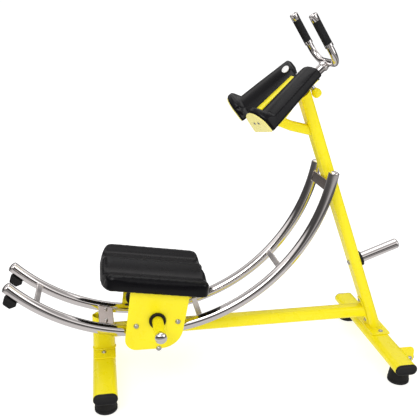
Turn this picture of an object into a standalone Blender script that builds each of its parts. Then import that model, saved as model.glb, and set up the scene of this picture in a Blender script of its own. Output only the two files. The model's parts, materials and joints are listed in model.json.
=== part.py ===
"""Ab crunch machine: curved twin-rail track, rolling knee carriage, elbow rest with U handlebar.

Metres, +Z up. +X runs from the open end of the track to the rear post, Y across the machine.
Lengths along X are measured from the front foot bar; the stand empty moves the whole machine so
that its bounding box is centred on the origin.
"""

import math

import bmesh
import bpy
from mathutils import Matrix, Vector

GAP = 0.0003                      # left between pieces that touch

# Overall stance
FOOT_LENGTH = 0.594               # along Y, caps included
OVAL_WIDTH, OVAL_THICK = 0.080, 0.040   # flat-oval frame tube
WALL = 0.002                      # frame tube wall
RUBBER_HEIGHT = 0.051
RUBBER_RADIUS, RUBBER_TOP_RADIUS = 0.038, 0.032
RUBBER_INSET = 0.055              # rubber foot's centre from the end of its bar
CAP_THICK, CAP_PLUG = 0.0045, 0.014     # end cap outside its bar, and the part pushed inside
BASE_PLATE = 0.005
BASE_PLATE_HALF = 0.080           # half length of a post's base plate along Y
BASE_PLATE_CORNER = 0.008

# Track
RAIL_ARC = 0.651                  # centreline radius
TRACK_LOW = 0.196                 # height of the rails' centrelines at their lowest
ARC_CENTRE = Vector((0.163, 0.0, TRACK_LOW + RAIL_ARC))
RAIL_RADIUS = 0.019
RAIL_HALF_GAUGE = 0.0885
RAIL_START, RAIL_END = -45.7, 80.0      # degrees from straight down, towards the post
RAIL_STEPS, RAIL_SIDES = 40, 12
RUNG_ARC = RAIL_ARC - 0.006       # radius of the rungs' mid-plane
RUNG_THICK = 0.008
RUNG_WIDTH = 0.020
RUNG_ANGLES = {"rung_low": -35.9, "rung_mid": 16.2, "rung_high": 46.1}
FRONT_BRACKET_ANGLE, FRONT_BRACKET_WIDTH = -13.5, 0.052
TOP_BRACKET_ANGLE, TOP_BRACKET_WIDTH = 75.9, 0.036
RAIL_CAP_DOME, RAIL_CAP_PLUG = 0.008, 0.012
BUMPER_ANGLE, BUMPER_HEIGHT = -42.5, 0.030
BUMPER_LENGTH, BUMPER_WIDTH = 0.048, 0.034      # at its widest, below the rail

# Rear post, leaning towards the track and touching its top bracket
POST_BEHIND = 0.003               # of the post's foot behind the middle of its foot bar
POST_LEAN = 20.1                  # degrees from vertical
BEAM_WIDTH, BEAM_HEIGHT, BEAM_Z = 0.050, 0.045, 0.163
UPRIGHT_X, UPRIGHT_WIDTH = 0.002, 0.076
BRACE_WIDTH, BRACE_HEIGHT, BRACE_Z = 0.036, 0.034, 0.876
BRACE_RUN = ((-0.029, 0.0), (-0.085, 0.014), (-0.145, 0.038))   # (x, z) from the post's centreline
BEAM_CORNER, BRACE_CORNER = 0.014, 0.010

# Handlebar's U
STEM_RADIUS, STEM_WALL = 0.015, 0.002
STEM_START, STEM_END = -0.123, 0.120
HANDLE_LEAN = 32.3                # of the U's plane from vertical, degrees
HANDLE_HALF_WIDTH = 0.102
HANDLE_BEND = 0.050
HANDLE_RISE = 0.177
HANDLE_RADIUS = 0.0115
GRIP_RADIUS, GRIP_START, GRIP_LENGTH = 0.0140, 0.080, 0.090
PIN_STATION = 0.026               # of the pull pin along the head tube
PIN_RADIUS = 0.004
KNOB_RADIUS = 0.0165
KNOB_DROP, KNOB_HEIGHT = 0.018, 0.030   # shoulder's drop below the head tube, and length below it
PIN_HOLD = 0.003                  # depth that the pin reaches into the stem's wall
SLIDE_IN, SLIDE_OUT = 0.030, 0.050     # handlebar's travel each way

# Elbow rest: a square head tube across the top of the post, tilted up towards the rear.
# Stations along it are measured from where its centreline crosses the post's.
HEAD_TILT = 42.5                  # degrees
HEAD_Z = 1.0206                   # height of that crossing
HEAD_SIZE = 2 * STEM_RADIUS + 0.010
HEAD_START, HEAD_END = -0.163, 0.054
BUSH_PLUG, BUSH_FLANGE = 0.018, 0.006   # inside and outside the head tube's mouth
PAD_PLATE_THICK = 0.005
PAD_PLATE_START, PAD_PLATE_END = -0.173, 0.008
PAD_PLATE_LOW_HALF, PAD_PLATE_HIGH_HALF = 0.196, 0.128
PAD_PLATE_CUT = 0.020             # its corners
PAD_SPLAY = 15.5                  # degrees, elbows wider than hands
PAD_LENGTH, PAD_FLANGE = 0.250, 0.027
PAD_LOW_WIDTH, PAD_HIGH_WIDTH = 0.122, 0.102
PAD_THICK, PAD_HIGH_THICK = 0.056, 0.044
PAD_FLANGE_HEIGHT = 0.088
PAD_MIDDLE = -0.080               # of the pads along the head tube
PAD_MIDDLE_Y = 0.134

# Carriage
CARRIAGE_ANGLE = 2.1              # degrees, where the carriage rests on the track
ROLLER_RADIUS, ROLLER_WIDTH = 0.0254, 0.028
ROLLER_CLEAR = 0.0006             # between tread and rail
ROLLER_PITCH = 6.75               # degrees each side of the carriage's middle
ROLLER_HUB, JOURNAL_RADIUS, RUNNING = 0.011, 0.006, 0.00005
ROLLER_CHAMFER, ROLLER_SIDES = 0.003, 20
AXLE_SHOULDER, AXLE_HEAD, AXLE_HEAD_HEIGHT = 0.009, 0.0085, 0.006
STUB_HEAD = 0.0095
PLATE_Y, PLATE_THICK = 0.137, 0.004
SEAT_TILT = -8.8                  # degrees, the knee pad falls towards the post
SEAT_AT = (0.0105, 0.2089)        # middle of the knee pad's underside, (x, z) from the lower axle
KNEE_LENGTH, KNEE_WIDTH = 0.372, 0.320
KNEE_OFFSET = -0.016              # of the knee pad's middle along the seat
# Its skin from rim to middle ridge: (share of the half width, height)
KNEE_SKIN = [(1.0, 0.010), (1.0, 0.038), (0.90, 0.050), (0.70, 0.047), (0.45, 0.041), (0.22, 0.052),
             (0.0, 0.058)]
KNEE_END = 0.030                  # length over which each end of it rounds off
MOUNT_LENGTH = 0.214
PEG_AT = (-0.0025, 0.1075)        # weight pegs' axis, (x, z) from the lower axle
CHEEK_FRONT, CHEEK_REAR = (-0.1205, -0.0005), (0.0735, -0.0025)   # cheek's lower corners, likewise
CHEEK_TOP_HALF = 0.101            # half length of the cheek's top edge
CHEEK_ROUNDS = (0.004, 0.040, 0.078, 0.004)     # corner radii from its front top corner round the bottom
PEG_RADIUS, PEG_REACH, PEG_DOME = 0.019, 0.275, 0.008
COLLAR_RADIUS, COLLAR_THICK = 0.029, 0.010

# Weight storage peg on the post
STORAGE_Z = 0.372                 # height at which its axis meets the post
STORAGE_LENGTH = 0.162

# Transport wheel behind the rear foot bar
WHEEL_RADIUS, WHEEL_WIDTH, WHEEL_JOURNAL = 0.022, 0.018, 0.004
WHEEL_BEHIND, WHEEL_Z = 0.030, 0.045     # its axis behind the bar's back edge, and its height
BRACKET_Y, BRACKET_THICK = -0.180, 0.004
BRACKET_REACH = 0.046             # of the ear behind the bar's back edge
WHEEL_PIN_HEAD = 0.008

# Colours (r, g, b), roughness, metallic
LOOKS = {
    "yellow": ((0.90, 0.74, 0.03), 0.35, 0.0),
    "chrome": ((0.78, 0.78, 0.80), 0.12, 1.0),
    "steel": ((0.62, 0.62, 0.64), 0.30, 1.0),
    "vinyl": ((0.020, 0.020, 0.022), 0.45, 0.0),
    "rubber": ((0.018, 0.018, 0.018), 0.70, 0.0),
    "plastic": ((0.025, 0.025, 0.027), 0.40, 0.0),
}

SIDES = {"near": -1, "far": 1}


# ---------------------------------------------------------------- scene and materials

def clear_scene():
    for item in list(bpy.data.objects):
        bpy.data.objects.remove(item, do_unlink=True)


def make_materials():
    made = {}
    for name, (colour, roughness, metallic) in LOOKS.items():
        material = bpy.data.materials.new(name)
        material.use_nodes = True
        shader = material.node_tree.nodes["Principled BSDF"]
        shader.inputs["Base Color"].default_value = (*colour, 1.0)
        shader.inputs["Roughness"].default_value = roughness
        shader.inputs["Metallic"].default_value = metallic
        made[name] = material
    return made


def empty(name, place, parent=None):
    holder = bpy.data.objects.new(name, None)
    bpy.context.collection.objects.link(holder)
    holder.parent = parent
    holder.location = place
    return holder


# ---------------------------------------------------------------- building solids

def circle(radius, sides, phase=0.0):
    return [(radius * math.cos(math.tau * (i + phase) / sides),
             radius * math.sin(math.tau * (i + phase) / sides)) for i in range(sides)]


def rounded(width, height, radius, steps=4):
    """Outline of a rounded rectangle, anticlockwise, centred on zero."""
    corners = [(width / 2 - radius, height / 2 - radius, 0), (radius - width / 2, height / 2 - radius, 90),
               (radius - width / 2, radius - height / 2, 180), (width / 2 - radius, radius - height / 2, 270)]
    points = []
    for cx, cy, start in corners:
        for step in range(steps + 1):
            angle = math.radians(start + 90 * step / steps)
            point = (cx + radius * math.cos(angle), cy + radius * math.sin(angle))
            if not points or math.dist(points[-1], point) > 1e-5:
                points.append(point)
    if math.dist(points[0], points[-1]) < 1e-5:
        points.pop()
    return points


def oval(width, thick, shrink=0.0):
    return rounded(width - 2 * shrink, thick - 2 * shrink, thick / 2 - shrink)


def ring(points, centre, across, up):
    """Place an outline in space: its x runs along across and its y along up."""
    return [Vector(centre) + Vector(across) * x + Vector(up) * y for x, y in points]


def slide_to(points, direction, plane_point, plane_normal):
    """Move each point along direction until it lies on a plane, as a saw cut would leave it."""
    direction, normal = Vector(direction), Vector(plane_normal)
    moved = []
    for point in points:
        reach = (Vector(plane_point) - point).dot(normal) / direction.dot(normal)
        moved.append(point + direction * reach)
    return moved


def skin(name, rings, material, parent, loop=False):
    """One closed body through rings of equal length, capped at its ends or joined into a loop."""
    mesh = bmesh.new()
    layers = [[mesh.verts.new(point) for point in points] for points in rings]
    pairs = list(zip(layers, layers[1:]))
    if loop:
        pairs.append((layers[-1], layers[0]))
    count = len(layers[0])
    for one, two in pairs:
        for i in range(count):
            mesh.faces.new((one[i], one[(i + 1) % count], two[(i + 1) % count], two[i]))
    if not loop:
        mesh.faces.new(list(reversed(layers[0])))
        mesh.faces.new(layers[-1])
    return finish(name, mesh, material, parent)


def finish(name, mesh, material, parent):
    bmesh.ops.recalc_face_normals(mesh, faces=mesh.faces)
    if mesh.calc_volume(signed=True) < 0.0:
        bmesh.ops.reverse_faces(mesh, faces=mesh.faces)
    data = bpy.data.meshes.new(name)
    mesh.to_mesh(data)
    mesh.free()
    data.materials.append(material)
    data.shade_smooth()
    data.set_sharp_from_angle(angle=math.radians(35))
    made = bpy.data.objects.new(name, data)
    bpy.context.collection.objects.link(made)
    made.parent = parent
    return made


def pipe(name, outer, inner, frames, material, parent, first_cut=None, last_cut=None):
    """A hollow tube along frames of (centre, across, up); a cut is (point, normal) of a saw plane."""
    rings = {}
    for kind, outline in (("outer", outer), ("inner", inner)):
        placed = [ring(outline, *frame) for frame in frames]
        if first_cut:
            placed[0] = slide_to(placed[0], frames[1][0] - frames[0][0], *first_cut)
        if last_cut:
            placed[-1] = slide_to(placed[-1], frames[-1][0] - frames[-2][0], *last_cut)
        rings[kind] = placed
    return skin(name, rings["outer"] + rings["inner"][::-1], material, parent, loop=True)


def turned(name, profile, sides, place, axis, material, parent, phase=0.0):
    """A solid of revolution: profile is (radius, distance along axis) from one end to the other."""
    across, up = square_to(axis)
    rings = [ring(circle(radius, sides, phase), Vector(place) + Vector(axis) * along, across, up)
             for radius, along in profile]
    return skin(name, rings, material, parent)


def turned_loop(name, profile, sides, place, axis, material, parent, phase=0.0):
    """A ring-shaped solid of revolution: profile runs once round its cut face."""
    across, up = square_to(axis)
    rings = [ring(circle(radius, sides, phase), Vector(place) + Vector(axis) * along, across, up)
             for radius, along in profile]
    return skin(name, rings, material, parent, loop=True)


def square_to(axis):
    axis = Vector(axis).normalized()
    across = axis.orthogonal().normalized()
    if abs(axis.y) > 0.99:
        across = Vector((1.0, 0.0, 0.0))
    elif abs(axis.y) < 0.01:
        across = Vector((0.0, 1.0, 0.0))
    return across, axis.cross(across)


def block(name, outline, low, high, material, parent):
    """An outline in the XZ plane, extruded along Y from low to high."""
    rings = [[Vector((x, y, z)) for x, z in outline] for y in (low, high)]
    return skin(name, rings, material, parent)


def combine(target, other, operation):
    """Boolean two objects that share a parent, and keep only the first."""
    change = target.modifiers.new(operation.lower(), "BOOLEAN")
    change.operation = operation
    change.object = other
    change.solver = "EXACT"
    bpy.context.view_layer.update()
    graph = bpy.context.evaluated_depsgraph_get()
    result = bpy.data.meshes.new_from_object(target.evaluated_get(graph))
    target.modifiers.remove(change)
    target.data = result
    bpy.data.objects.remove(other, do_unlink=True)
    return target


def dome(radius, height, steps=3):
    """Profile points from the rim of a shallow dome to the edge of its flat crown."""
    return [(radius * math.cos(math.radians(75 * i / steps)),
             height * math.sin(math.radians(75 * i / steps)) / math.sin(math.radians(75)))
            for i in range(1, steps + 1)]


def bore_round(radius, sides):
    """Corner radius of a many-sided bore whose flats clear a turning shaft."""
    return (radius + RUNNING) / math.cos(math.pi / sides)


def re_origin(piece, place):
    """Put a piece's origin on its own axis without moving it."""
    piece.data.transform(Matrix.Translation(-Vector(place)))
    piece.location = place
    return piece


# ---------------------------------------------------------------- directions and stations

def on_arc(angle, radius, y=0.0):
    turn = math.radians(angle)
    return ARC_CENTRE + Vector((radius * math.sin(turn), y, -radius * math.cos(turn)))


def radial(angle):
    turn = math.radians(angle)
    return Vector((math.sin(turn), 0.0, -math.cos(turn)))


def tangent(angle):
    turn = math.radians(angle)
    return Vector((math.cos(turn), 0.0, math.sin(turn)))


FOOT_Z = RUBBER_HEIGHT + GAP + OVAL_THICK / 2
BAR_TOP = FOOT_Z + OVAL_THICK / 2
HEAD_ALONG = Vector((math.cos(math.radians(HEAD_TILT)), 0.0, math.sin(math.radians(HEAD_TILT))))
HEAD_UP = Vector((-HEAD_ALONG.z, 0.0, HEAD_ALONG.x))
PAD_BASE = HEAD_SIZE / 2 + PAD_PLATE_THICK + 2 * GAP
POST_UP = Vector((-math.sin(math.radians(POST_LEAN)), 0.0, math.cos(math.radians(POST_LEAN))))
POST_BACK = Vector((POST_UP.z, 0.0, -POST_UP.x))
ACROSS = Vector((0.0, 1.0, 0.0))


def post_foot():
    """The foot of the post whose front face the top bracket's rear edge touches."""
    edge = on_arc(TOP_BRACKET_ANGLE, RUNG_ARC + RUNG_THICK / 2)
    edge += tangent(TOP_BRACKET_ANGLE) * TOP_BRACKET_WIDTH / 2
    reach = edge.dot(POST_BACK) + GAP + OVAL_THICK / 2
    height = BAR_TOP + GAP + BASE_PLATE
    return Vector(((reach - height * POST_BACK.z) / POST_BACK.x, 0.0, height))


POST_FOOT = post_foot()
FOOT_SPACING = POST_FOOT.x - POST_BEHIND


def on_post(z):
    """The post's centreline at a height."""
    return POST_FOOT + POST_UP * ((z - POST_FOOT.z) / POST_UP.z)


HEAD_ROOT = on_post(HEAD_Z)


def at_head(station, offset=0.0, y=0.0):
    return HEAD_ROOT + HEAD_ALONG * station + HEAD_UP * offset + ACROSS * y


# ---------------------------------------------------------------- frame pieces

def foot_bar(name, x, paint, parent):
    half = FOOT_LENGTH / 2 - CAP_THICK - GAP
    frames = [(Vector((x, y, FOOT_Z)), Vector((1, 0, 0)), Vector((0, 0, 1))) for y in (-half, half)]
    pipe(name, oval(OVAL_WIDTH, OVAL_THICK), oval(OVAL_WIDTH, OVAL_THICK, WALL), frames, paint, parent)


def foot_cap(name, x, side, look, parent):
    end = FOOT_LENGTH / 2
    stations = [(end, 0.0015), (end - 0.0015, 0.0), (end - CAP_THICK, 0.0),
                (end - CAP_THICK, WALL + GAP), (end - CAP_THICK - CAP_PLUG, WALL + GAP)]
    rings = [ring(oval(OVAL_WIDTH, OVAL_THICK, shrink), Vector((x, side * y, FOOT_Z)),
                  Vector((1, 0, 0)), Vector((0, 0, 1))) for y, shrink in stations]
    skin(name, rings, look, parent)


def rubber_foot(name, x, side, look, parent):
    place = (x, side * (FOOT_LENGTH / 2 - RUBBER_INSET), 0.0)
    profile = [(RUBBER_RADIUS - 0.0025, 0.0), (RUBBER_RADIUS, 0.004), (RUBBER_RADIUS - 0.0005, 0.018),
               (RUBBER_TOP_RADIUS, RUBBER_HEIGHT)]
    turned(name, profile, 20, place, (0, 0, 1), look, parent)


def base_plate(x, width, paint, parent):
    outline = rounded(width, 2 * BASE_PLATE_HALF, BASE_PLATE_CORNER, 2)
    rings = [ring(outline, Vector((x, 0, BAR_TOP + GAP + z)), Vector((1, 0, 0)), Vector((0, 1, 0)))
             for z in (0.0, BASE_PLATE)]
    return skin("base_plate", rings, paint, parent)


def front_upright(paint, parent):
    """A short flat-oval tube on a base plate, sawn along the underside of the front bracket."""
    start = Vector((UPRIGHT_X, 0.0, BAR_TOP + GAP + BASE_PLATE - 0.001))
    frames = [(start, Vector((1, 0, 0)), ACROSS), (start + Vector((0, 0, 0.1)), Vector((1, 0, 0)), ACROSS)]
    normal = radial(FRONT_BRACKET_ANGLE)
    under = on_arc(FRONT_BRACKET_ANGLE, RUNG_ARC + RUNG_THICK / 2 + GAP)
    outer, inner = oval(UPRIGHT_WIDTH, OVAL_THICK), oval(UPRIGHT_WIDTH, OVAL_THICK, WALL)
    tube = pipe("front_upright", outer, inner, frames, paint, parent, last_cut=(under, normal))
    return combine(tube, base_plate(UPRIGHT_X, OVAL_WIDTH - 0.002, paint, parent), "UNION")


def rear_post(paint, parent):
    """A leaning flat-oval tube on a base plate, sawn along the underside of the head tube."""
    start = POST_FOOT - POST_UP * 0.001
    frames = [(start, ACROSS, POST_BACK), (start + POST_UP * 0.9, ACROSS, POST_BACK)]
    under = at_head(0.0, -HEAD_SIZE / 2 - GAP)
    outer, inner = oval(OVAL_WIDTH, OVAL_THICK), oval(OVAL_WIDTH, OVAL_THICK, WALL)
    ground = (start, Vector((0, 0, 1)))
    tube = pipe("rear_post", outer, inner, frames, paint, parent, ground, (under, HEAD_UP))
    return combine(tube, base_plate(POST_FOOT.x, OVAL_WIDTH - 0.008, paint, parent), "UNION")


def main_beam(paint, parent):
    """Runs from the front upright to the rear post, sawn to meet the leaning post."""
    start = Vector((UPRIGHT_X + UPRIGHT_WIDTH / 2 + GAP, 0.0, BEAM_Z))
    frames = [(start, ACROSS, Vector((0, 0, 1))),
              (start + Vector((0.8, 0, 0)), ACROSS, Vector((0, 0, 1)))]
    front_face = on_post(BEAM_Z) - POST_BACK * (OVAL_THICK / 2 + GAP)
    pipe("main_beam", rounded(BEAM_WIDTH, BEAM_HEIGHT, BEAM_CORNER, 3),
         rounded(BEAM_WIDTH - 2 * WALL, BEAM_HEIGHT - 2 * WALL, BEAM_CORNER - WALL, 3), frames, paint,
         parent, last_cut=(front_face, POST_BACK))


def brace_tube(paint, parent):
    """A short bent strut from the post's front face up to the underside of the head tube."""
    low, middle, high = (on_post(BRACE_Z) + Vector((x, 0.0, z)) for x, z in BRACE_RUN)
    places, ways = [low, middle, high], [middle - low, high - low, high - middle]
    frames = [(place, ACROSS, way.normalized().cross(ACROSS)) for place, way in zip(places, ways)]
    front_face = on_post(BRACE_Z) - POST_BACK * (OVAL_THICK / 2 + GAP)
    under = at_head(0.0, -HEAD_SIZE / 2 - GAP)
    pipe("brace_tube", rounded(BRACE_WIDTH, BRACE_HEIGHT, BRACE_CORNER, 3),
         rounded(BRACE_WIDTH - 2 * WALL, BRACE_HEIGHT - 2 * WALL, BRACE_CORNER - WALL, 3), frames, paint,
         parent, (front_face, POST_BACK), (under, HEAD_UP))


def head_tube(paint, parent):
    """The square receiver between the elbow pads, drilled underneath for the pull pin."""
    frames = [(at_head(station), ACROSS, HEAD_UP) for station in (HEAD_START, HEAD_END)]
    inside = HEAD_SIZE - 2 * WALL
    tube = pipe("head_tube", rounded(HEAD_SIZE, HEAD_SIZE, 0.005, 2), rounded(inside, inside, 0.003, 2),
                frames, paint, parent)
    drill = turned("drill", [(PIN_RADIUS + RUNNING, -0.006), (PIN_RADIUS + RUNNING, 0.006)], 12,
                   at_head(PIN_STATION, -HEAD_SIZE / 2), HEAD_UP, paint, parent)
    return combine(tube, drill, "DIFFERENCE")


def head_bush(look, parent):
    """A plastic bush in the mouth of the head tube, bored for the handlebar's stem."""
    plug = HEAD_SIZE - 2 * (WALL + GAP)
    start, end = HEAD_END - BUSH_PLUG, HEAD_END + BUSH_FLANGE
    outline, flange = rounded(plug, plug, 0.0027, 2), rounded(HEAD_SIZE, HEAD_SIZE, 0.005, 2)
    stations = [(outline, start), (outline, HEAD_END + GAP), (flange, HEAD_END + GAP), (flange, end)]
    rings = [ring(points, at_head(station), ACROSS, HEAD_UP) for points, station in stations]
    bush = skin("head_bush", rings, look, parent)
    bore = STEM_RADIUS + 2 * RUNNING
    drill = turned("drill", [(bore, start - 0.01), (bore, end + 0.01)], 16, HEAD_ROOT, HEAD_ALONG, look,
                   parent)
    return combine(bush, drill, "DIFFERENCE")


def pad_frame(side):
    """Middle of an elbow pad's underside, its long axis and its outward direction."""
    splay = math.radians(PAD_SPLAY)
    along = HEAD_ALONG * math.cos(splay) - ACROSS * side * math.sin(splay)
    outward = HEAD_ALONG * math.sin(splay) + ACROSS * side * math.cos(splay)
    return at_head(PAD_MIDDLE, PAD_BASE, side * PAD_MIDDLE_Y), along, outward


def pad_section(width, height, sink=0.0):
    """Half-barrel outline: flat underneath, upright sides and a curved crown."""
    half, shoulder = width / 2 - sink, 0.62 * height
    points = [(-half, sink), (half, sink), (half, shoulder - sink)]
    for step in range(1, 8):
        angle = math.pi * step / 8
        points.append((half * math.cos(angle), shoulder - sink + (height - shoulder) * math.sin(angle)))
    return points + [(-half, shoulder - sink)]


def elbow_pad(name, side, look, parent):
    """A tapering half-barrel pad with a raised elbow flange at its lower end."""
    middle, along, outward = pad_frame(side)
    half = PAD_LENGTH / 2

    def width_at(station):
        share = (station + half) / PAD_LENGTH
        return PAD_LOW_WIDTH + (PAD_HIGH_WIDTH - PAD_LOW_WIDTH) * share

    flange_end = PAD_FLANGE - half
    stations = [(-half, PAD_FLANGE_HEIGHT, 0.004), (0.004 - half, PAD_FLANGE_HEIGHT, 0.0),
                (flange_end - 0.004, PAD_FLANGE_HEIGHT, 0.0), (flange_end, PAD_FLANGE_HEIGHT - 0.004, 0.003),
                (flange_end + 0.006, PAD_THICK, 0.003), (half - 0.014, PAD_HIGH_THICK, 0.003),
                (half - 0.004, PAD_HIGH_THICK - 0.005, 0.006), (half, PAD_HIGH_THICK - 0.012, 0.010)]
    rings = [ring(pad_section(width_at(station), height, sink), middle + along * station, outward, HEAD_UP)
             for station, height, sink in stations]
    skin(name, rings, look, parent)


def pad_plate(paint, parent):
    """The steel plate on the head tube that carries both elbow pads, wider at the elbows."""
    low, high, cut = PAD_PLATE_LOW_HALF, PAD_PLATE_HIGH_HALF, PAD_PLATE_CUT
    half = [(PAD_PLATE_START, low - 0.055), (PAD_PLATE_START + cut, low), (PAD_PLATE_START + 2 * cut, low),
            (PAD_PLATE_END - cut, high), (PAD_PLATE_END, high - cut)]
    outline = half + [(station, -y) for station, y in reversed(half)]
    rings = [[at_head(station, HEAD_SIZE / 2 + GAP + rise, y) for station, y in outline]
             for rise in (0.0, PAD_PLATE_THICK)]
    skin("pad_plate", rings, paint, parent)


# ---------------------------------------------------------------- track pieces

def rail_frames(y, start, end, steps):
    """Frames along the arc whose polygon touches the true radius at its corners."""
    frames = []
    for step in range(steps + 1):
        angle = start + (end - start) * step / steps
        frames.append((on_arc(angle, RAIL_ARC, y), ACROSS, radial(angle)))
    return frames


def rail(name, side, look, parent):
    frames = rail_frames(side * RAIL_HALF_GAUGE, RAIL_START, RAIL_END, RAIL_STEPS)
    pipe(name, circle(RAIL_RADIUS, RAIL_SIDES, 0.5), circle(RAIL_RADIUS - WALL, RAIL_SIDES, 0.5),
         frames, look, parent)


def rail_cap(name, side, angle, way, look, parent):
    """A domed plug in one end of a rail."""
    place = on_arc(angle, RAIL_ARC, side * RAIL_HALF_GAUGE)
    axis = tangent(angle) * way
    spigot = RAIL_RADIUS - WALL - 2 * GAP
    profile = [(spigot, -RAIL_CAP_PLUG), (spigot, GAP), (RAIL_RADIUS, GAP), (RAIL_RADIUS, 0.003)]
    profile += [(radius, 0.003 + height) for radius, height in dome(RAIL_RADIUS, RAIL_CAP_DOME)]
    turned(name, profile, RAIL_SIDES, place, axis, look, parent, phase=0.5)


def cross_bar(name, angle, width, look, parent):
    """A flat bar between the rails, square to the track's radius."""
    reach = RAIL_HALF_GAUGE - RAIL_RADIUS - GAP
    outline = rounded(width, RUNG_THICK, 0.002, 2)
    rings = [ring(outline, on_arc(angle, RUNG_ARC, y), tangent(angle), radial(angle))
             for y in (-reach, reach)]
    skin(name, rings, look, parent)


def rail_bumper(name, side, look, parent):
    """A tapered rubber stop under the open end of a rail."""
    y = side * RAIL_HALF_GAUGE
    levels = [(0.010, 0.012, 0.0), (0.0, 0.0, 0.008), (0.002, 0.002, 0.013), (0.018, 0.008, BUMPER_HEIGHT)]
    start = RAIL_ARC + RAIL_RADIUS + 2 * GAP
    rings = [ring(rounded(BUMPER_LENGTH - shorter, BUMPER_WIDTH - narrower, 0.006, 2),
                  on_arc(BUMPER_ANGLE, start + drop, y), tangent(BUMPER_ANGLE), ACROSS)
             for shorter, narrower, drop in levels]
    skin(name, rings, look, parent)


# ---------------------------------------------------------------- carriage pieces

def roller_station(upper, angle):
    """Where a roller's axle crosses the carriage: above or below the rail."""
    offset = RAIL_RADIUS + ROLLER_CLEAR + ROLLER_RADIUS
    return on_arc(angle, RAIL_ARC - offset if upper else RAIL_ARC + offset)


ROLLERS = {
    "upper_front": roller_station(True, CARRIAGE_ANGLE - ROLLER_PITCH),
    "upper_rear": roller_station(True, CARRIAGE_ANGLE + ROLLER_PITCH),
    "lower": roller_station(False, CARRIAGE_ANGLE),
}
SEAT_ALONG = Vector((math.cos(math.radians(SEAT_TILT)), 0.0, math.sin(math.radians(SEAT_TILT))))
SEAT_UP = Vector((-SEAT_ALONG.z, 0.0, SEAT_ALONG.x))


def at_carriage(x, z):
    """A point in the centre plane, measured from the lower rollers' axle."""
    return ROLLERS["lower"] + Vector((x, 0.0, z))


def at_seat(along, height, y=0.0):
    return at_carriage(*SEAT_AT) + SEAT_ALONG * along + SEAT_UP * height + ACROSS * y


def corner(before, point, after, radius, steps):
    """Round one corner of an outline with an arc of the given radius."""
    before, point, after = Vector(before), Vector(point), Vector(after)
    one, two = (before - point).normalized(), (after - point).normalized()
    half = math.acos(max(-1.0, min(1.0, one.dot(two)))) / 2
    centre = point + (one + two).normalized() * (radius / math.sin(half))
    start = point + one * (radius / math.tan(half)) - centre
    end = point + two * (radius / math.tan(half)) - centre
    turn = start.angle_signed(end)
    return [centre + Matrix.Rotation(-turn * step / steps, 2) @ start for step in range(steps + 1)]


def side_plate(name, side, paint, parent):
    """The shield-shaped cheek that carries the rollers, drilled for their axles."""
    top = -BASE_PLATE - 2 * GAP
    places = [at_seat(-CHEEK_TOP_HALF, top), at_carriage(*CHEEK_FRONT), at_carriage(*CHEEK_REAR),
              at_seat(CHEEK_TOP_HALF, top)]
    corners = [((place.x, place.z), radius) for place, radius in zip(places, CHEEK_ROUNDS)]
    outline = []
    for i, (point, radius) in enumerate(corners):
        before, after = corners[i - 1][0], corners[(i + 1) % len(corners)][0]
        outline += corner(before, point, after, radius, 2 if radius < 0.01 else 7)
    inner, outer = PLATE_Y - PLATE_THICK / 2, PLATE_Y + PLATE_THICK / 2
    plate = block(name, [tuple(p) for p in outline], side * inner, side * outer, paint, parent)
    for place in ROLLERS.values():
        hole = JOURNAL_RADIUS + GAP
        drill = turned("drill", [(hole, inner - 0.01), (hole, outer + 0.01)], 12, place, ACROSS * side,
                       paint, parent)
        combine(plate, drill, "DIFFERENCE")
    return plate


def mount_plate(paint, parent):
    """Joins the cheeks and carries the knee pad."""
    half, reach = MOUNT_LENGTH / 2, PLATE_Y + PLATE_THICK / 2
    outline = rounded(2 * half, 2 * reach, 0.010, 2)
    rings = [ring(outline, at_seat(0.0, height), SEAT_ALONG, ACROSS) for height in (-BASE_PLATE - GAP, -GAP)]
    skin("mount_plate", rings, paint, parent)


def knee_profile(inset, lift):
    """Cross-section of the knee pad: a shin trough each side of a middle ridge."""
    half = KNEE_WIDTH / 2 - inset
    top = [(half * share, max(height - lift, 0.006)) for share, height in KNEE_SKIN]
    mirrored = [(-y, z) for y, z in reversed(top[:-1])]
    return [(0.94 * half, 0.0)] + top + mirrored + [(-0.94 * half, 0.0)]


def knee_pad(look, parent):
    half = KNEE_LENGTH / 2
    stations = [(-half, 0.026, 0.016), (-half + 0.010, 0.012, 0.006), (-half + KNEE_END, 0.0, 0.0),
                (half - KNEE_END, 0.0, 0.0), (half - 0.010, 0.008, 0.006), (half, 0.022, 0.016)]
    rings = [[at_seat(KNEE_OFFSET + along, z, y) for y, z in knee_profile(inset, lift)]
             for along, inset, lift in stations]
    skin("knee_pad", rings, look, parent)


def weight_peg(name, side, paint, parent):
    """A tube for disc weights, closed by a domed end and open where it meets the cheek."""
    start, reach = PLATE_Y + PLATE_THICK / 2 + GAP, PEG_REACH
    domed_tube(name, start, reach, at_carriage(*PEG_AT), ACROSS * side, paint, parent)


def domed_tube(name, start, reach, place, axis, look, parent):
    """A peg: a tube that is open at start and closed by a dome at reach."""
    rim, bore, sides = reach - PEG_DOME, PEG_RADIUS - WALL, 16
    outer = [(PEG_RADIUS, start), (PEG_RADIUS, rim)]
    outer += [(radius, rim + height) for radius, height in dome(PEG_RADIUS, PEG_DOME)]
    inner = [(bore * 0.3, rim - WALL), (bore, rim - 2 * WALL), (bore, start)]
    across, up = square_to(axis)
    mesh = bmesh.new()
    layers = [[mesh.verts.new(p) for p in ring(circle(r, sides), Vector(place) + axis * d, across, up)]
              for r, d in outer + inner]
    crown, floor = len(outer) - 1, len(outer)
    for i, (one, two) in enumerate(zip(layers, layers[1:] + layers[:1])):
        if i == crown:
            continue
        for j in range(sides):
            mesh.faces.new((one[j], one[(j + 1) % sides], two[(j + 1) % sides], two[j]))
    mesh.faces.new(layers[crown])
    mesh.faces.new(list(reversed(layers[floor])))
    return finish(name, mesh, look, parent)


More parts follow.
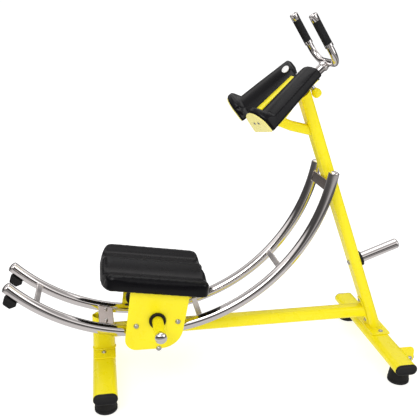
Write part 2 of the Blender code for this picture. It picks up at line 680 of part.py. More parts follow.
def collar(name, place, axis, bore, look, parent, start):
    """A rubber ring round the root of a peg."""
    end, chamfer = start + COLLAR_THICK, 0.002
    profile = [(bore, start), (COLLAR_RADIUS, start), (COLLAR_RADIUS, end - chamfer),
               (COLLAR_RADIUS - chamfer, end), (bore, end)]
    turned_loop(name, profile, 20, place, axis, look, parent)


def journal_and_head():
    """Profile of an axle's outer end, from the roller's inner face to the crown of its head."""
    inside = RAIL_HALF_GAUGE - ROLLER_WIDTH / 2 - GAP
    face = PLATE_Y + PLATE_THICK / 2 + GAP
    chamfer = 0.4 * AXLE_HEAD_HEIGHT
    return inside, [(JOURNAL_RADIUS, inside), (JOURNAL_RADIUS, face), (AXLE_HEAD, face),
                    (AXLE_HEAD, face + AXLE_HEAD_HEIGHT - chamfer),
                    (AXLE_HEAD - 0.003, face + AXLE_HEAD_HEIGHT)]


def through_axle(name, place, look, parent):
    """A shouldered shaft across the carriage: two journals, a head and a nut."""
    inside, journal = journal_and_head()
    half = [(AXLE_SHOULDER, inside)] + journal
    profile = [(radius, -along) for radius, along in reversed(half)] + half
    turned(name, profile, 12, place, ACROSS, look, parent)


def stub_axle(name, place, side, look, parent):
    """A short bolt through one cheek, with its roller and a nut on the inside."""
    inside, journal = journal_and_head()
    profile = [(STUB_HEAD, inside - AXLE_HEAD_HEIGHT), (STUB_HEAD, inside)] + journal
    turned(name, profile, 12, place, ACROSS * side, look, parent)


def roller(name, place, side, look, parent):
    """A plastic wheel with a hub that reaches out to the cheek; it turns on its axle's journal."""
    bore = bore_round(JOURNAL_RADIUS, ROLLER_SIDES)
    low, high = RAIL_HALF_GAUGE - ROLLER_WIDTH / 2, RAIL_HALF_GAUGE + ROLLER_WIDTH / 2
    hub_end = PLATE_Y - PLATE_THICK / 2 - GAP
    edge = ROLLER_RADIUS - ROLLER_CHAMFER
    profile = [(bore, low), (edge, low), (ROLLER_RADIUS, low + ROLLER_CHAMFER),
               (ROLLER_RADIUS, high - ROLLER_CHAMFER), (edge, high), (ROLLER_HUB, high),
               (ROLLER_HUB, hub_end), (bore, hub_end)]
    made = turned_loop(name, profile, ROLLER_SIDES, place, ACROSS * side, look, parent)
    return re_origin(made, place)


# ---------------------------------------------------------------- handlebar, pin, peg and wheel

def handle_frame():
    lean = math.radians(HANDLE_LEAN)
    rise = Vector((-math.sin(lean), 0.0, math.cos(lean)))
    return at_head(STEM_END), rise


def handle_path():
    """The U in its own plane: (across, rise) stations and headings of one half, then mirrored."""
    half, bend = HANDLE_HALF_WIDTH, HANDLE_BEND
    right = [(0.0, 0.0)] + [(half - bend + bend * math.sin(math.radians(a)),
                             bend - bend * math.cos(math.radians(a))) for a in range(0, 91, 18)]
    right += [(half, HANDLE_RISE)]
    return [(-x, y) for x, y in reversed(right[1:])] + right


def sweep(outline_radius, sides, path, root, rise):
    """Rings square to a path in the plane of ACROSS and rise."""
    points = [root + ACROSS * x + rise * y for x, y in path]
    normal = ACROSS.cross(rise).normalized()
    rings = []
    for i, point in enumerate(points):
        way = (points[min(i + 1, len(points) - 1)] - points[max(i - 1, 0)]).normalized()
        rings.append(ring(circle(outline_radius, sides), point, normal, way.cross(normal)))
    return rings


def handlebar(look, parent):
    """A telescoping stem, slotted underneath for the pull pin, and a U with domed ends."""
    root, rise = handle_frame()
    normal = ACROSS.cross(rise).normalized()
    ends = {}
    for side in (-1, 1):
        tip = root + ACROSS * side * HANDLE_HALF_WIDTH + rise * HANDLE_RISE
        ends[side] = [ring(circle(radius, 12), tip + rise * height, normal, rise.cross(normal) * side)
                      for radius, height in dome(HANDLE_RADIUS, 0.006)]
    rings = ends[-1][::-1] + sweep(HANDLE_RADIUS, 12, handle_path(), root, rise) + ends[1]
    bar = skin("handlebar", rings, look, parent)
    frames = [(at_head(station), ACROSS, HEAD_UP) for station in (STEM_START, STEM_END)]
    stem = pipe("stem", circle(STEM_RADIUS, 16), circle(STEM_RADIUS - STEM_WALL, 16), frames, look, parent)
    slot_low, slot_high = PIN_STATION - SLIDE_OUT - 0.012, PIN_STATION + SLIDE_IN + 0.012
    outline = rounded(slot_high - slot_low, 2 * PIN_RADIUS + 0.002, 0.0045, 2)
    slot = [ring(outline, at_head((slot_low + slot_high) / 2, -drop), HEAD_ALONG, ACROSS)
            for drop in (0.4 * STEM_RADIUS, 2 * STEM_RADIUS)]
    combine(stem, skin("slot", slot, look, parent), "DIFFERENCE")
    return combine(bar, stem, "UNION")


def grip(name, side, look, parent):
    """A rubber sleeve on one arm of the U."""
    root, rise = handle_frame()
    start = root + ACROSS * side * HANDLE_HALF_WIDTH
    bore = HANDLE_RADIUS + GAP
    low, high = GRIP_START, GRIP_START + GRIP_LENGTH
    profile = [(bore, low), (GRIP_RADIUS - 0.001, low), (GRIP_RADIUS, low + 0.002),
               (GRIP_RADIUS, high - 0.002), (GRIP_RADIUS - 0.001, high), (bore, high)]
    normal = ACROSS.cross(rise).normalized()
    rings = [ring(circle(radius, 12), start + rise * along, normal, rise.cross(normal))
             for radius, along in profile]
    skin(name, rings, look, parent, loop=True)


def pull_pin(look, parent):
    """A steel pin with a turned knob, drawn straight out of the head tube's underside."""
    tip, under = PIN_HOLD - STEM_RADIUS, -HEAD_SIZE / 2
    knob_top, knob_bottom = under - KNOB_DROP, under - KNOB_DROP - KNOB_HEIGHT
    profile = [(PIN_RADIUS, tip), (PIN_RADIUS, knob_top + 0.004), (0.010, knob_top + 0.004),
               (0.0115, knob_top), (KNOB_RADIUS, knob_top - 0.007), (KNOB_RADIUS, knob_bottom + 0.007),
               (0.011, knob_bottom)]
    pin = turned("pull_pin", profile, 12, at_head(PIN_STATION), HEAD_UP, look, parent)
    return re_origin(pin, at_head(PIN_STATION, under))


def storage_root():
    return on_post(STORAGE_Z) + POST_BACK * (OVAL_THICK / 2 + GAP)


def storage_peg(look, parent):
    """A chrome tube for spare discs, square to the post's back face."""
    domed_tube("storage_peg", 0.0, STORAGE_LENGTH, storage_root(), POST_BACK, look, parent)


def wheel_place():
    return Vector((FOOT_SPACING + OVAL_WIDTH / 2 + WHEEL_BEHIND, 0.0, WHEEL_Z))


def wheel_bracket(paint, parent):
    """A flat ear welded round the back of the rear foot bar, drilled for the wheel's axle."""
    bend = Vector((FOOT_SPACING + (OVAL_WIDTH - OVAL_THICK) / 2, FOOT_Z))
    radius = (OVAL_THICK / 2 + GAP) / math.cos(math.radians(8))
    seat = [bend + radius * Vector((math.cos(math.radians(a)), math.sin(math.radians(a))))
            for a in range(90, -61, -15)]
    back, top, bottom = bend.x + OVAL_THICK / 2 + BRACKET_REACH, BAR_TOP + 2 * GAP, WHEEL_Z - 0.013
    edge = [(back - 0.030, bottom), (back - 0.008, bottom), (back, bottom + 0.010), (back, top - 0.016),
            (back - 0.004, top - 0.005), (back - 0.014, top)]
    outline = [tuple(point) for point in seat] + edge
    half = BRACKET_THICK / 2
    ear = block("wheel_bracket", outline, BRACKET_Y - half, BRACKET_Y + half, paint, parent)
    hole = turned("drill", [(WHEEL_JOURNAL + GAP, BRACKET_Y - 0.01), (WHEEL_JOURNAL + GAP, BRACKET_Y + 0.01)],
                  12, wheel_place(), ACROSS, paint, parent)
    return combine(ear, hole, "DIFFERENCE")


def transport_wheel(looks, parent):
    """A rubber wheel on a headed pin, on the far side of its ear."""
    place = wheel_place()
    inner_face, outer_face = BRACKET_Y + BRACKET_THICK / 2, BRACKET_Y - BRACKET_THICK / 2
    low = inner_face + 2 * GAP
    high = low + WHEEL_WIDTH
    head = outer_face - GAP
    profile = [(WHEEL_PIN_HEAD - 0.001, head - 0.004), (WHEEL_PIN_HEAD, head), (WHEEL_JOURNAL, head),
               (WHEEL_JOURNAL, high + GAP), (WHEEL_PIN_HEAD, high + GAP),
               (WHEEL_PIN_HEAD - 0.001, high + 0.004)]
    turned("wheel_axle", profile, 12, place, ACROSS, looks["steel"], parent)
    bore, edge = bore_round(WHEEL_JOURNAL, ROLLER_SIDES), WHEEL_RADIUS - 0.003
    profile = [(bore, low), (edge, low), (WHEEL_RADIUS, low + 0.003), (WHEEL_RADIUS, high - 0.003),
               (edge, high), (bore, high)]
    wheel = turned_loop("transport_wheel", profile, ROLLER_SIDES, place, ACROSS, looks["rubber"], parent)
    re_origin(wheel, place)


# ---------------------------------------------------------------- assembly

def build_frame(looks, stand):
    yellow, chrome = looks["yellow"], looks["chrome"]
    for end, x in (("front", 0.0), ("rear", FOOT_SPACING)):
        foot_bar(f"{end}_foot_bar", x, yellow, stand)
        for side, sign in SIDES.items():
            foot_cap(f"foot_cap_{end}_{side}", x, sign, looks["plastic"], stand)
            rubber_foot(f"rubber_foot_{end}_{side}", x, sign, looks["rubber"], stand)
    front_upright(yellow, stand)
    main_beam(yellow, stand)
    rear_post(yellow, stand)
    brace_tube(yellow, stand)
    head_tube(yellow, stand)
    head_bush(looks["plastic"], stand)
    pad_plate(yellow, stand)
    for side, sign in SIDES.items():
        elbow_pad(f"elbow_pad_{side}", sign, looks["vinyl"], stand)
        rail(f"rail_{side}", sign, chrome, stand)
        rail_cap(f"rail_cap_low_{side}", sign, RAIL_START, -1, chrome, stand)
        rail_cap(f"rail_cap_high_{side}", sign, RAIL_END, 1, chrome, stand)
        rail_bumper(f"rail_bumper_{side}", sign, looks["rubber"], stand)
    for name, angle in RUNG_ANGLES.items():
        cross_bar(name, angle, RUNG_WIDTH, chrome, stand)
    cross_bar("front_bracket", FRONT_BRACKET_ANGLE, FRONT_BRACKET_WIDTH, chrome, stand)
    cross_bar("top_bracket", TOP_BRACKET_ANGLE, TOP_BRACKET_WIDTH, chrome, stand)
    storage_peg(chrome, stand)
    collar("storage_collar", storage_root(), POST_BACK, PEG_RADIUS + GAP, looks["rubber"], stand, GAP)


def build_carriage(looks, stand):
    track = empty("carriage_axis", ARC_CENTRE, stand)
    track_parent = empty("carriage", -ARC_CENTRE, track)
    start = PLATE_Y + PLATE_THICK / 2 + GAP
    mount_plate(looks["yellow"], track_parent)
    knee_pad(looks["vinyl"], track_parent)
    for side, sign in SIDES.items():
        side_plate(f"side_plate_{side}", sign, looks["yellow"], track_parent)
        weight_peg(f"weight_peg_{side}", sign, looks["yellow"], track_parent)
        collar(f"peg_collar_{side}", at_carriage(*PEG_AT), ACROSS * sign, PEG_RADIUS + GAP,
               looks["rubber"], track_parent, start)
        stub_axle(f"lower_axle_{side}", ROLLERS["lower"], sign, looks["steel"], track_parent)
        for name, place in ROLLERS.items():
            roller(f"roller_{name}_{side}", place, sign, looks["plastic"], track_parent)
    for name in ("upper_front", "upper_rear"):
        through_axle(f"{name}_axle", ROLLERS[name], looks["steel"], track_parent)


def build_handlebar(looks, stand):
    handlebar(looks["chrome"], stand)
    for side, sign in SIDES.items():
        grip(f"grip_{side}", sign, looks["rubber"], stand)
    pull_pin(looks["yellow"], stand)


def build_wheel(looks, stand):
    wheel_bracket(looks["yellow"], stand)
    transport_wheel(looks, stand)


def centre(stand):
    """Move the stand so that the machine's bounding box is centred over the origin."""
    bpy.context.view_layer.update()
    xs = [(piece.matrix_world @ Vector(point)).x for piece in bpy.data.objects if piece.type == "MESH"
          for point in piece.bound_box]
    stand.location.x = -(min(xs) + max(xs)) / 2


def main():
    clear_scene()
    looks = make_materials()
    stand = empty("stand", (0.0, 0.0, 0.0))
    build_frame(looks, stand)
    build_carriage(looks, stand)
    build_handlebar(looks, stand)
    build_wheel(looks, stand)
    centre(stand)


main()
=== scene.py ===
"""Looks of the ab crunch machine: smooth chrome, powder coat, moulded pads, grips, bolts and welds."""

import json
import math

import bmesh
import bpy
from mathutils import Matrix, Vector
from mathutils.bvhtree import BVHTree


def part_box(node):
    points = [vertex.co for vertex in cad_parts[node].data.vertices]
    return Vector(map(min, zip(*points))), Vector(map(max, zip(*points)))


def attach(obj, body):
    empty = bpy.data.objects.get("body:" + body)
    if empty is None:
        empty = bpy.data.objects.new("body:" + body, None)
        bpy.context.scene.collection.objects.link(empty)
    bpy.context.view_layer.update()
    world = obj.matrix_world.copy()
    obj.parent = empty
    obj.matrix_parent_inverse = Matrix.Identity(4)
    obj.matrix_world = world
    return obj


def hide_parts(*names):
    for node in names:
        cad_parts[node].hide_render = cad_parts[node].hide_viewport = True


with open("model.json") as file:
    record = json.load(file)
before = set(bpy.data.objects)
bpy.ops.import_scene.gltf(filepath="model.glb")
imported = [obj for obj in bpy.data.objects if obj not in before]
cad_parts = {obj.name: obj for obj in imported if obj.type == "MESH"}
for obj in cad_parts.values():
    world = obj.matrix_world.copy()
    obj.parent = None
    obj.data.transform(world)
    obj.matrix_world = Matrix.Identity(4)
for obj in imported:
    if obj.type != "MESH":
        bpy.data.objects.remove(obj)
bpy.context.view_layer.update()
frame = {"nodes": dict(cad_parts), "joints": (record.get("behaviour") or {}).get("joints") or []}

GAP = 0.0003                               # clearance between pieces that meet
FORE = Vector((1.0, 0.0, 0.0))
ACROSS = Vector((0.0, 1.0, 0.0))
UP = Vector((0.0, 0.0, 1.0))
SIDES = {"near": -1, "far": 1}
joints = {joint["name"]: joint for joint in frame["joints"]}

# Sizes that the looks share with the frame
RAIL_RADIUS, RAIL_ARC, RAIL_GAUGE = 0.019, 0.651, 0.0885
RAIL_START, RAIL_END = -45.7, 80.0         # degrees from straight down
RUNG_HALF = {"front_bracket": 0.026, "top_bracket": 0.018, "rung_low": 0.010, "rung_mid": 0.010,
             "rung_high": 0.010}           # half widths of the cross bars
BAR_WIDTH, BAR_THICK, BAR_WALL = 0.080, 0.040, 0.002    # flat-oval foot bar
BASE_PLATE = 0.005
UPRIGHT_WIDTH, UPRIGHT_OFFSET = 0.076, 0.002            # front upright, from the foot bar's middle
POST_WIDTH, POST_THICK, POST_LEAN = 0.080, 0.040, 20.1
POST_FOOT = 0.036                          # rear post: its foot's middle from its rearmost point
HEAD_HALF, HEAD_CENTRE = 0.020, 0.0545     # head tube: half thickness, its middle to the post's centreline
STEM_RADIUS, HANDLE_RADIUS = 0.015, 0.0115
HANDLE_HALF, HANDLE_BEND, HANDLE_RISE, HANDLE_LEAN = 0.102, 0.050, 0.177, 32.3
STEM_START, STEM_END = -0.123, 0.120       # along the head tube from the post's centreline
PIN_STATION = 0.026                        # the pull pin, on the same line
GRIP_START, GRIP_LENGTH, GRIP_RADIUS = 0.080, 0.090, 0.0140
GRIP_DROP, GRIP_CUT = 0.004, 0.010         # the sleeve starts lower and ends lower than its CAD node
PEG_RADIUS, STORAGE_LENGTH = 0.019, 0.162
COLLAR_RADIUS, COLLAR_THICK = 0.029, 0.010
CHEEK_FACE = 0.1390                        # outer face of the carriage's cheeks
PAD_LENGTH, PAD_SPLAY, PAD_MIDDLE, PAD_MIDDLE_Y = 0.250, 15.5, -0.080, 0.134
PAD_BASE = 0.0256                          # pads' underside above the head tube's centreline
PAD_LOW_WIDTH, PAD_HIGH_WIDTH = 0.122, 0.102
MOUNT_HALF, SEAT_TILT, SEAT_SHIFT = 0.0025, -8.8, -0.016   # the plate under the knee pad
KNEE_LENGTH, KNEE_WIDTH = 0.372, 0.320

# Elbow pad: from its low end to its high end, and the raised stop at the low end
PAD_HEIGHT, PAD_HEIGHT_LOSS = 0.053, 0.006
PAD_SHOULDER, PAD_SHOULDER_LOSS = 0.031, 0.003
PAD_SKIRT = 0.018                          # flare of the inner side down to the plate
STOP_HEIGHT, STOP_SHOULDER, STOP_LENGTH, STOP_BLEND = 0.087, 0.042, 0.020, 0.016
PAD_LOW_ROUND, PAD_HIGH_ROUND = 0.005, 0.010

# Knee pad: heights at the middle ridge, trough and rim, and the trough's share of the half width
KNEE_RIDGE, KNEE_TROUGH, KNEE_RIM = 0.0605, 0.0390, 0.0530
TROUGH_SHARE, RIM_SHARE, RIDGE_POWER = 0.56, 0.93, 1.7
KNEE_END_ROLL, KNEE_SIDE_ROLL, KNEE_EDGE = 0.018, 0.015, 0.012
REAR_CORNER, FRONT_CORNER = (0.024, 0.060), (0.034, 0.085)   # length and width of the rounded corners
NOTCH_DEPTH, NOTCH_SHARE = 0.013, 0.13     # dip of the rear end at the ridge

ELBOW_VOXEL, KNEE_VOXEL = 0.003, 0.0045
ELBOW_SWELL, KNEE_SWELL = 0.0016, 0.0025   # furthest that the foam pushes the skin
FOAM_PRESSURE, FOAM_FRAMES, HELD_HEIGHT = 4.0, 20, 0.004

# Button heads: radius, height, washer radius
POST_BOLT = (0.0075, 0.0045, 0.0105)
BASE_BOLT = (0.0068, 0.0042, 0.0092)
BEAM_BOLT = (0.0062, 0.0040, 0.0085)
AXLE_HEAD = (0.0089, 0.0072, 0.0094)
WHEEL_BOLT = (0.0082, 0.0060, 0.0100)
BOARD_SCREW = (0.0036, 0.0022, 0.0048)
WASHER = 0.0012                            # thickness

CAMERA_PLACE, CAMERA_TURN = (-0.3732, -2.0541, 1.2719), (72.128, -0.211, -9.858)
LENS, SENSOR = 53.556, 36.0
WORLD_LEVEL, WHITE_LEVEL, FLOOR_REACH = 0.60, 1.05, 12.0
LAMP_TARGET = Vector((0.1, 0.0, 0.5))
LAMPS = [("key", (-1.6, -2.6, 3.2), 2.2, 54.0), ("fill", (2.6, -2.2, 1.8), 2.0, 20.0),
         ("top", (0.2, 0.6, 3.6), 2.6, 30.0)]   # name, place, side, watts

ARC_CENTRE = Vector(joints["carriage_travel"]["pos_m"])
HEAD_ALONG = Vector(joints["handlebar_slide"]["axis"])
HEAD_UP = -Vector(joints["pull_pin_slide"]["axis"])
POST_BACK = Vector((math.cos(math.radians(POST_LEAN)), 0.0, math.sin(math.radians(POST_LEAN))))


def middle(node):
    """Middle of a CAD node's box."""
    low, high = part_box(node)
    return (low + high) / 2


HEAD_ROOT = middle("head_tube") + HEAD_ALONG * HEAD_CENTRE
POST_BACK_FACE = middle("storage_collar") - POST_BACK * (COLLAR_THICK / 2)
POST_FRONT_FACE = POST_BACK_FACE - POST_BACK * (POST_THICK + 2 * GAP)


def at_head(station, offset=0.0, y=0.0):
    """A place by its distance along the head tube, above its centreline and to the far side."""
    return HEAD_ROOT + HEAD_ALONG * station + HEAD_UP * offset + ACROSS * y


def on_arc(angle, radius, y=0.0):
    """A place round the track's centre, by degrees from straight down."""
    turn = math.radians(angle)
    return ARC_CENTRE + Vector((radius * math.sin(turn), y, -radius * math.cos(turn)))


def front_x(station):
    """World x of a place measured from the middle of the front foot bar."""
    return middle("front_foot_bar").x + station


# ---------- materials

def new_material(name, colour, roughness, metallic=0.0):
    material = bpy.data.materials.new(name)
    material.use_nodes = True
    shader = material.node_tree.nodes["Principled BSDF"]
    shader.inputs["Base Color"].default_value = (*colour, 1.0)
    shader.inputs["Roughness"].default_value = roughness
    shader.inputs["Metallic"].default_value = metallic
    return material, material.node_tree, shader


def coordinates(tree, stretch=(1.0, 1.0, 1.0)):
    source = tree.nodes.new("ShaderNodeTexCoord")
    mapping = tree.nodes.new("ShaderNodeMapping")
    mapping.inputs["Scale"].default_value = stretch
    tree.links.new(source.outputs["Object"], mapping.inputs["Vector"])
    return mapping.outputs["Vector"]


def noise(tree, vector, scale, detail=3.0):
    texture = tree.nodes.new("ShaderNodeTexNoise")
    texture.inputs["Scale"].default_value = scale
    texture.inputs["Detail"].default_value = detail
    tree.links.new(vector, texture.inputs["Vector"])
    return texture.outputs["Fac"]


def ramp(tree, factor, low, high, start=0.3, end=0.7):
    """Map a factor to a range of numbers."""
    scaled = tree.nodes.new("ShaderNodeMapRange")
    scaled.inputs["From Min"].default_value = start
    scaled.inputs["From Max"].default_value = end
    scaled.inputs["To Min"].default_value = low
    scaled.inputs["To Max"].default_value = high
    tree.links.new(factor, scaled.inputs["Value"])
    return scaled.outputs["Result"]


def blend_colours(tree, factor, first, second):
    mix = tree.nodes.new("ShaderNodeMix")
    mix.data_type = "RGBA"
    mix.inputs["A"].default_value = (*first, 1.0)
    mix.inputs["B"].default_value = (*second, 1.0)
    tree.links.new(factor, mix.inputs["Factor"])
    return mix.outputs["Result"]


def bump(tree, shader, height, strength, distance):
    node = tree.nodes.new("ShaderNodeBump")
    node.inputs["Strength"].default_value = strength
    node.inputs["Distance"].default_value = distance
    tree.links.new(height, node.inputs["Height"])
    tree.links.new(node.outputs["Normal"], shader.inputs["Normal"])


def powder_coat(name, colour, shade):
    """Glossy powder coat: faint orange peel, slight drift in colour and gloss."""
    patches, sheen, peel = 7.0, 30.0, 420.0
    material, tree, shader = new_material(name, colour, 0.3)
    vector = coordinates(tree)
    drift = ramp(tree, noise(tree, vector, patches), 0.0, 1.0)
    tree.links.new(blend_colours(tree, drift, colour, shade), shader.inputs["Base Color"])
    tree.links.new(ramp(tree, noise(tree, vector, sheen), 0.24, 0.34), shader.inputs["Roughness"])
    bump(tree, shader, noise(tree, vector, peel, 2.0), 0.03, 0.0002)
    shader.inputs["Specular IOR Level"].default_value = 0.30
    shader.inputs["Coat Weight"].default_value = 0.15
    shader.inputs["Coat Roughness"].default_value = 0.10
    return material


def chrome_plate(name, colour, low, high):
    """Polished plating with fine wipe marks and patches that are a little duller."""
    patches, wipes, wipe_stretch = 24.0, 55.0, (1.0, 9.0, 1.0)
    material, tree, shader = new_material(name, colour, low, 1.0)
    dull = noise(tree, coordinates(tree), patches, 5.0)
    tree.links.new(ramp(tree, dull, low, high), shader.inputs["Roughness"])
    bump(tree, shader, noise(tree, coordinates(tree, wipe_stretch), wipes, 2.0), 0.012, 0.0003)
    return material


def moulded_skin(name, colour, shade, low, high):
    """Satin polyurethane skin with a fine leather-like grain."""
    patches, sheen, grain = 11.0, 38.0, 900.0
    material, tree, shader = new_material(name, colour, low)
    vector = coordinates(tree)
    drift = ramp(tree, noise(tree, vector, patches, 4.0), 0.0, 1.0)
    tree.links.new(blend_colours(tree, drift, colour, shade), shader.inputs["Base Color"])
    tree.links.new(ramp(tree, noise(tree, vector, sheen, 4.0), low, high), shader.inputs["Roughness"])
    shader.inputs["Specular IOR Level"].default_value = 0.20
    cells = tree.nodes.new("ShaderNodeTexVoronoi")
    cells.inputs["Scale"].default_value = grain
    tree.links.new(vector, cells.inputs["Vector"])
    bump(tree, shader, cells.outputs["Distance"], 0.02, 0.0001)
    return material


def dull_black(name, colour, shade, low, high, texture, strength):
    """Rubber or nylon: matt, with a slightly dusty drift and a fine texture."""
    patches, sheen = 22.0, 60.0
    material, tree, shader = new_material(name, colour, low)
    shader.inputs["Specular IOR Level"].default_value = 0.30
    vector = coordinates(tree)
    drift = ramp(tree, noise(tree, vector, patches, 5.0), 0.0, 1.0)
    tree.links.new(blend_colours(tree, drift, colour, shade), shader.inputs["Base Color"])
    tree.links.new(ramp(tree, noise(tree, vector, sheen), low, high), shader.inputs["Roughness"])
    bump(tree, shader, noise(tree, vector, texture, 2.0), strength, 0.0004)
    return material


YELLOW = powder_coat("yellow_powder_coat", (0.930, 0.800, 0.010), (0.918, 0.784, 0.008))
# the yellow coat made paler: painted light on the elbow pads' end boards
PALE_LIT_YELLOW = powder_coat("yellow_panel_painted_light", (0.900, 0.820, 0.300), (0.870, 0.780, 0.240))
PLUG = powder_coat("white_plug", (0.900, 0.890, 0.880), (0.860, 0.850, 0.840))
CHROME = chrome_plate("chrome_plate", (0.800, 0.765, 0.755), 0.04, 0.11)
BRUSHED = chrome_plate("brushed_chrome", (0.820, 0.780, 0.770), 0.30, 0.42)
# darker, browner copy of the chrome: a painted brown reflection on the front and top brackets
CHROME_PAINTED_REFLECTION = chrome_plate("chrome_with_painted_reflection", (0.560, 0.490, 0.450), 0.10, 0.20)
STEEL = chrome_plate("zinc_steel", (0.560, 0.550, 0.540), 0.20, 0.36)
SKIN = moulded_skin("pad_skin", (0.0022, 0.0020, 0.0030), (0.0030, 0.0027, 0.0040), 0.26, 0.32)
RUBBER = dull_black("black_rubber", (0.0045, 0.0045, 0.0050), (0.0090, 0.0085, 0.0085), 0.55, 0.72,
                    600.0, 0.12)
NYLON = dull_black("black_nylon", (0.0050, 0.0050, 0.0055), (0.0090, 0.0090, 0.0095), 0.38, 0.50,
                   380.0, 0.08)
GRIP = dull_black("grip_rubber", (0.0050, 0.0050, 0.0060), (0.0085, 0.0085, 0.0095), 0.50, 0.66,
                  900.0, 0.20)


# ---------- building pieces

def piece(name, mesh, material, body, smooth=40.0):
    """Turn a bmesh into a piece that rides on a body and takes its finish from a slot."""
    bmesh.ops.recalc_face_normals(mesh, faces=mesh.faces)
    if mesh.calc_volume(signed=True) < 0.0:
        bmesh.ops.reverse_faces(mesh, faces=mesh.faces)
    data = bpy.data.meshes.new(name)
    mesh.to_mesh(data)
    mesh.free()
    data.materials.append(material)
    data.shade_smooth()
    data.set_sharp_from_angle(angle=math.radians(smooth))
    made = bpy.data.objects.new(name, data)
    bpy.context.scene.collection.objects.link(made)
    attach(made, body)
    return made


def add_rings(mesh, rings, loop=False):
    """Skin rings of equal length into a mesh, capped at its ends unless it is a loop."""
    layers = [[mesh.verts.new(point) for point in ring] for ring in rings]
    pairs = list(zip(layers, layers[1:]))
    if loop:
        pairs.append((layers[-1], layers[0]))
    count = len(layers[0])
    for one, two in pairs:
        for i in range(count):
            mesh.faces.new((one[i], one[(i + 1) % count], two[(i + 1) % count], two[i]))
    if not loop:
        mesh.faces.new(layers[0])
        mesh.faces.new(layers[-1])


def square_to(axis):
    """Two directions square to an axis and to each other."""
    axis = Vector(axis).normalized()
    across = FORE if abs(axis.y) > 0.99 else ACROSS
    across = (across - axis * across.dot(axis)).normalized()
    return across, axis.cross(across)


def circle(centre, across, up, radius, sides):
    return [centre + across * radius * math.cos(math.tau * i / sides)
            + up * radius * math.sin(math.tau * i / sides) for i in range(sides)]


def turned_rings(profile, place, axis, sides):
    """Rings of a solid of revolution from (radius, distance along axis) points."""
    across, up = square_to(axis)
    axis = Vector(axis).normalized()
    return [circle(Vector(place) + axis * along, across, up, radius, sides) for radius, along in profile]


def turned(name, profile, place, axis, material, body, sides=48, loop=False, smooth=40.0):
    """A solid of revolution from (radius, distance along axis) points."""
    mesh = bmesh.new()
    add_rings(mesh, turned_rings(profile, place, axis, sides), loop)
    return piece(name, mesh, material, body, smooth)


def dome(radius, height, steps, start):
    """Profile of a dome, from its rim to a tiny crown."""
    crown = 0.04 * radius
    points = []
    for step in range(steps + 1):
        angle = math.radians(90 * step / steps)
        points.append((max(radius * math.cos(angle), crown), start + height * math.sin(angle)))
    return points


def corner(radius, along, size, degrees):
    """Profile points of a rounded edge about its centre; 0 degrees faces outward, 90 along the axis."""
    return [(radius + size * math.cos(math.radians(a)), along + size * math.sin(math.radians(a)))
            for a in degrees]


def swept(points, normal, radius, sides):
    """Rings along a planar path; normal is square to the path's plane."""
    rings = []
    for i, point in enumerate(points):
        way = (points[min(i + 1, len(points) - 1)] - points[max(i - 1, 0)]).normalized()
        rings.append(circle(point, normal, way.cross(normal).normalized(), radius, sides))
    return rings


def oval_outline(width, thick, steps=14):
    """Flat-oval outline with round ends, anticlockwise."""
    points = []
    for end in (1, -1):
        for step in range(steps + 1):
            angle = math.radians(-90 + 180 * step / steps)
            points.append((end * (width / 2 - thick / 2 + thick / 2 * math.cos(angle)),
                           end * thick / 2 * math.sin(angle)))
    return points


def placed(outline, centre, across, up):
    """Lay a flat outline out in space."""
    return [centre + across * x + up * y for x, y in outline]


# ---------- carried-over metal parts

def dress(node, material, edge):
    """A CAD part keeps its shape and gets its finish and lightly broken edges."""
    part = frame["nodes"][node]
    part.data.materials.clear()
    part.data.materials.append(material)
    if "custom_normal" in part.data.attributes:
        part.data.attributes.remove(part.data.attributes["custom_normal"])
    part.data.shade_smooth()
    weld = part.modifiers.new("weld", "WELD")
    weld.merge_threshold = 0.00001
    flat = part.modifiers.new("flat", "DECIMATE")
    flat.decimate_type = "DISSOLVE"
    flat.angle_limit = math.radians(1.0)
    bevel = part.modifiers.new("edge", "BEVEL")
    bevel.limit_method = "ANGLE"
    bevel.angle_limit = math.radians(40.0)
    bevel.width = edge
    bevel.segments = 2
    normals = part.modifiers.new("normals", "WEIGHTED_NORMAL")
    normals.keep_sharp = True


YELLOW_NODES = ["front_upright", "rear_post", "main_beam", "brace_tube", "head_tube", "pad_plate",
                "wheel_bracket", "mount_plate", "side_plate_near", "side_plate_far"]
STEEL_NODES = ["upper_front_axle", "upper_rear_axle", "lower_axle_near", "lower_axle_far", "wheel_axle"]
ROLLERS = [f"roller_{place}_{side}" for place in ("upper_front", "upper_rear", "lower") for side in SIDES]
SHEET_EDGE, AXLE_EDGE, NYLON_EDGE, BUMPER_EDGE = 0.0008, 0.0003, 0.0004, 0.0025


def dress_metal():
    """The finish of every CAD part that stays."""
    for node in YELLOW_NODES:
        dress(node, YELLOW, SHEET_EDGE)
    for node in RUNG_HALF:
        # the rungs get brushed chrome; the brackets get the darker chrome with a painted brown reflection
        dress(node, BRUSHED if node.startswith("rung") else CHROME_PAINTED_REFLECTION, SHEET_EDGE)
    for node in STEEL_NODES:
        dress(node, STEEL, AXLE_EDGE)
    for node in ROLLERS + ["head_bush"]:
        dress(node, NYLON, NYLON_EDGE)
    for side in SIDES:
        dress(f"rail_bumper_{side}", RUBBER, BUMPER_EDGE)


# ---------- feet

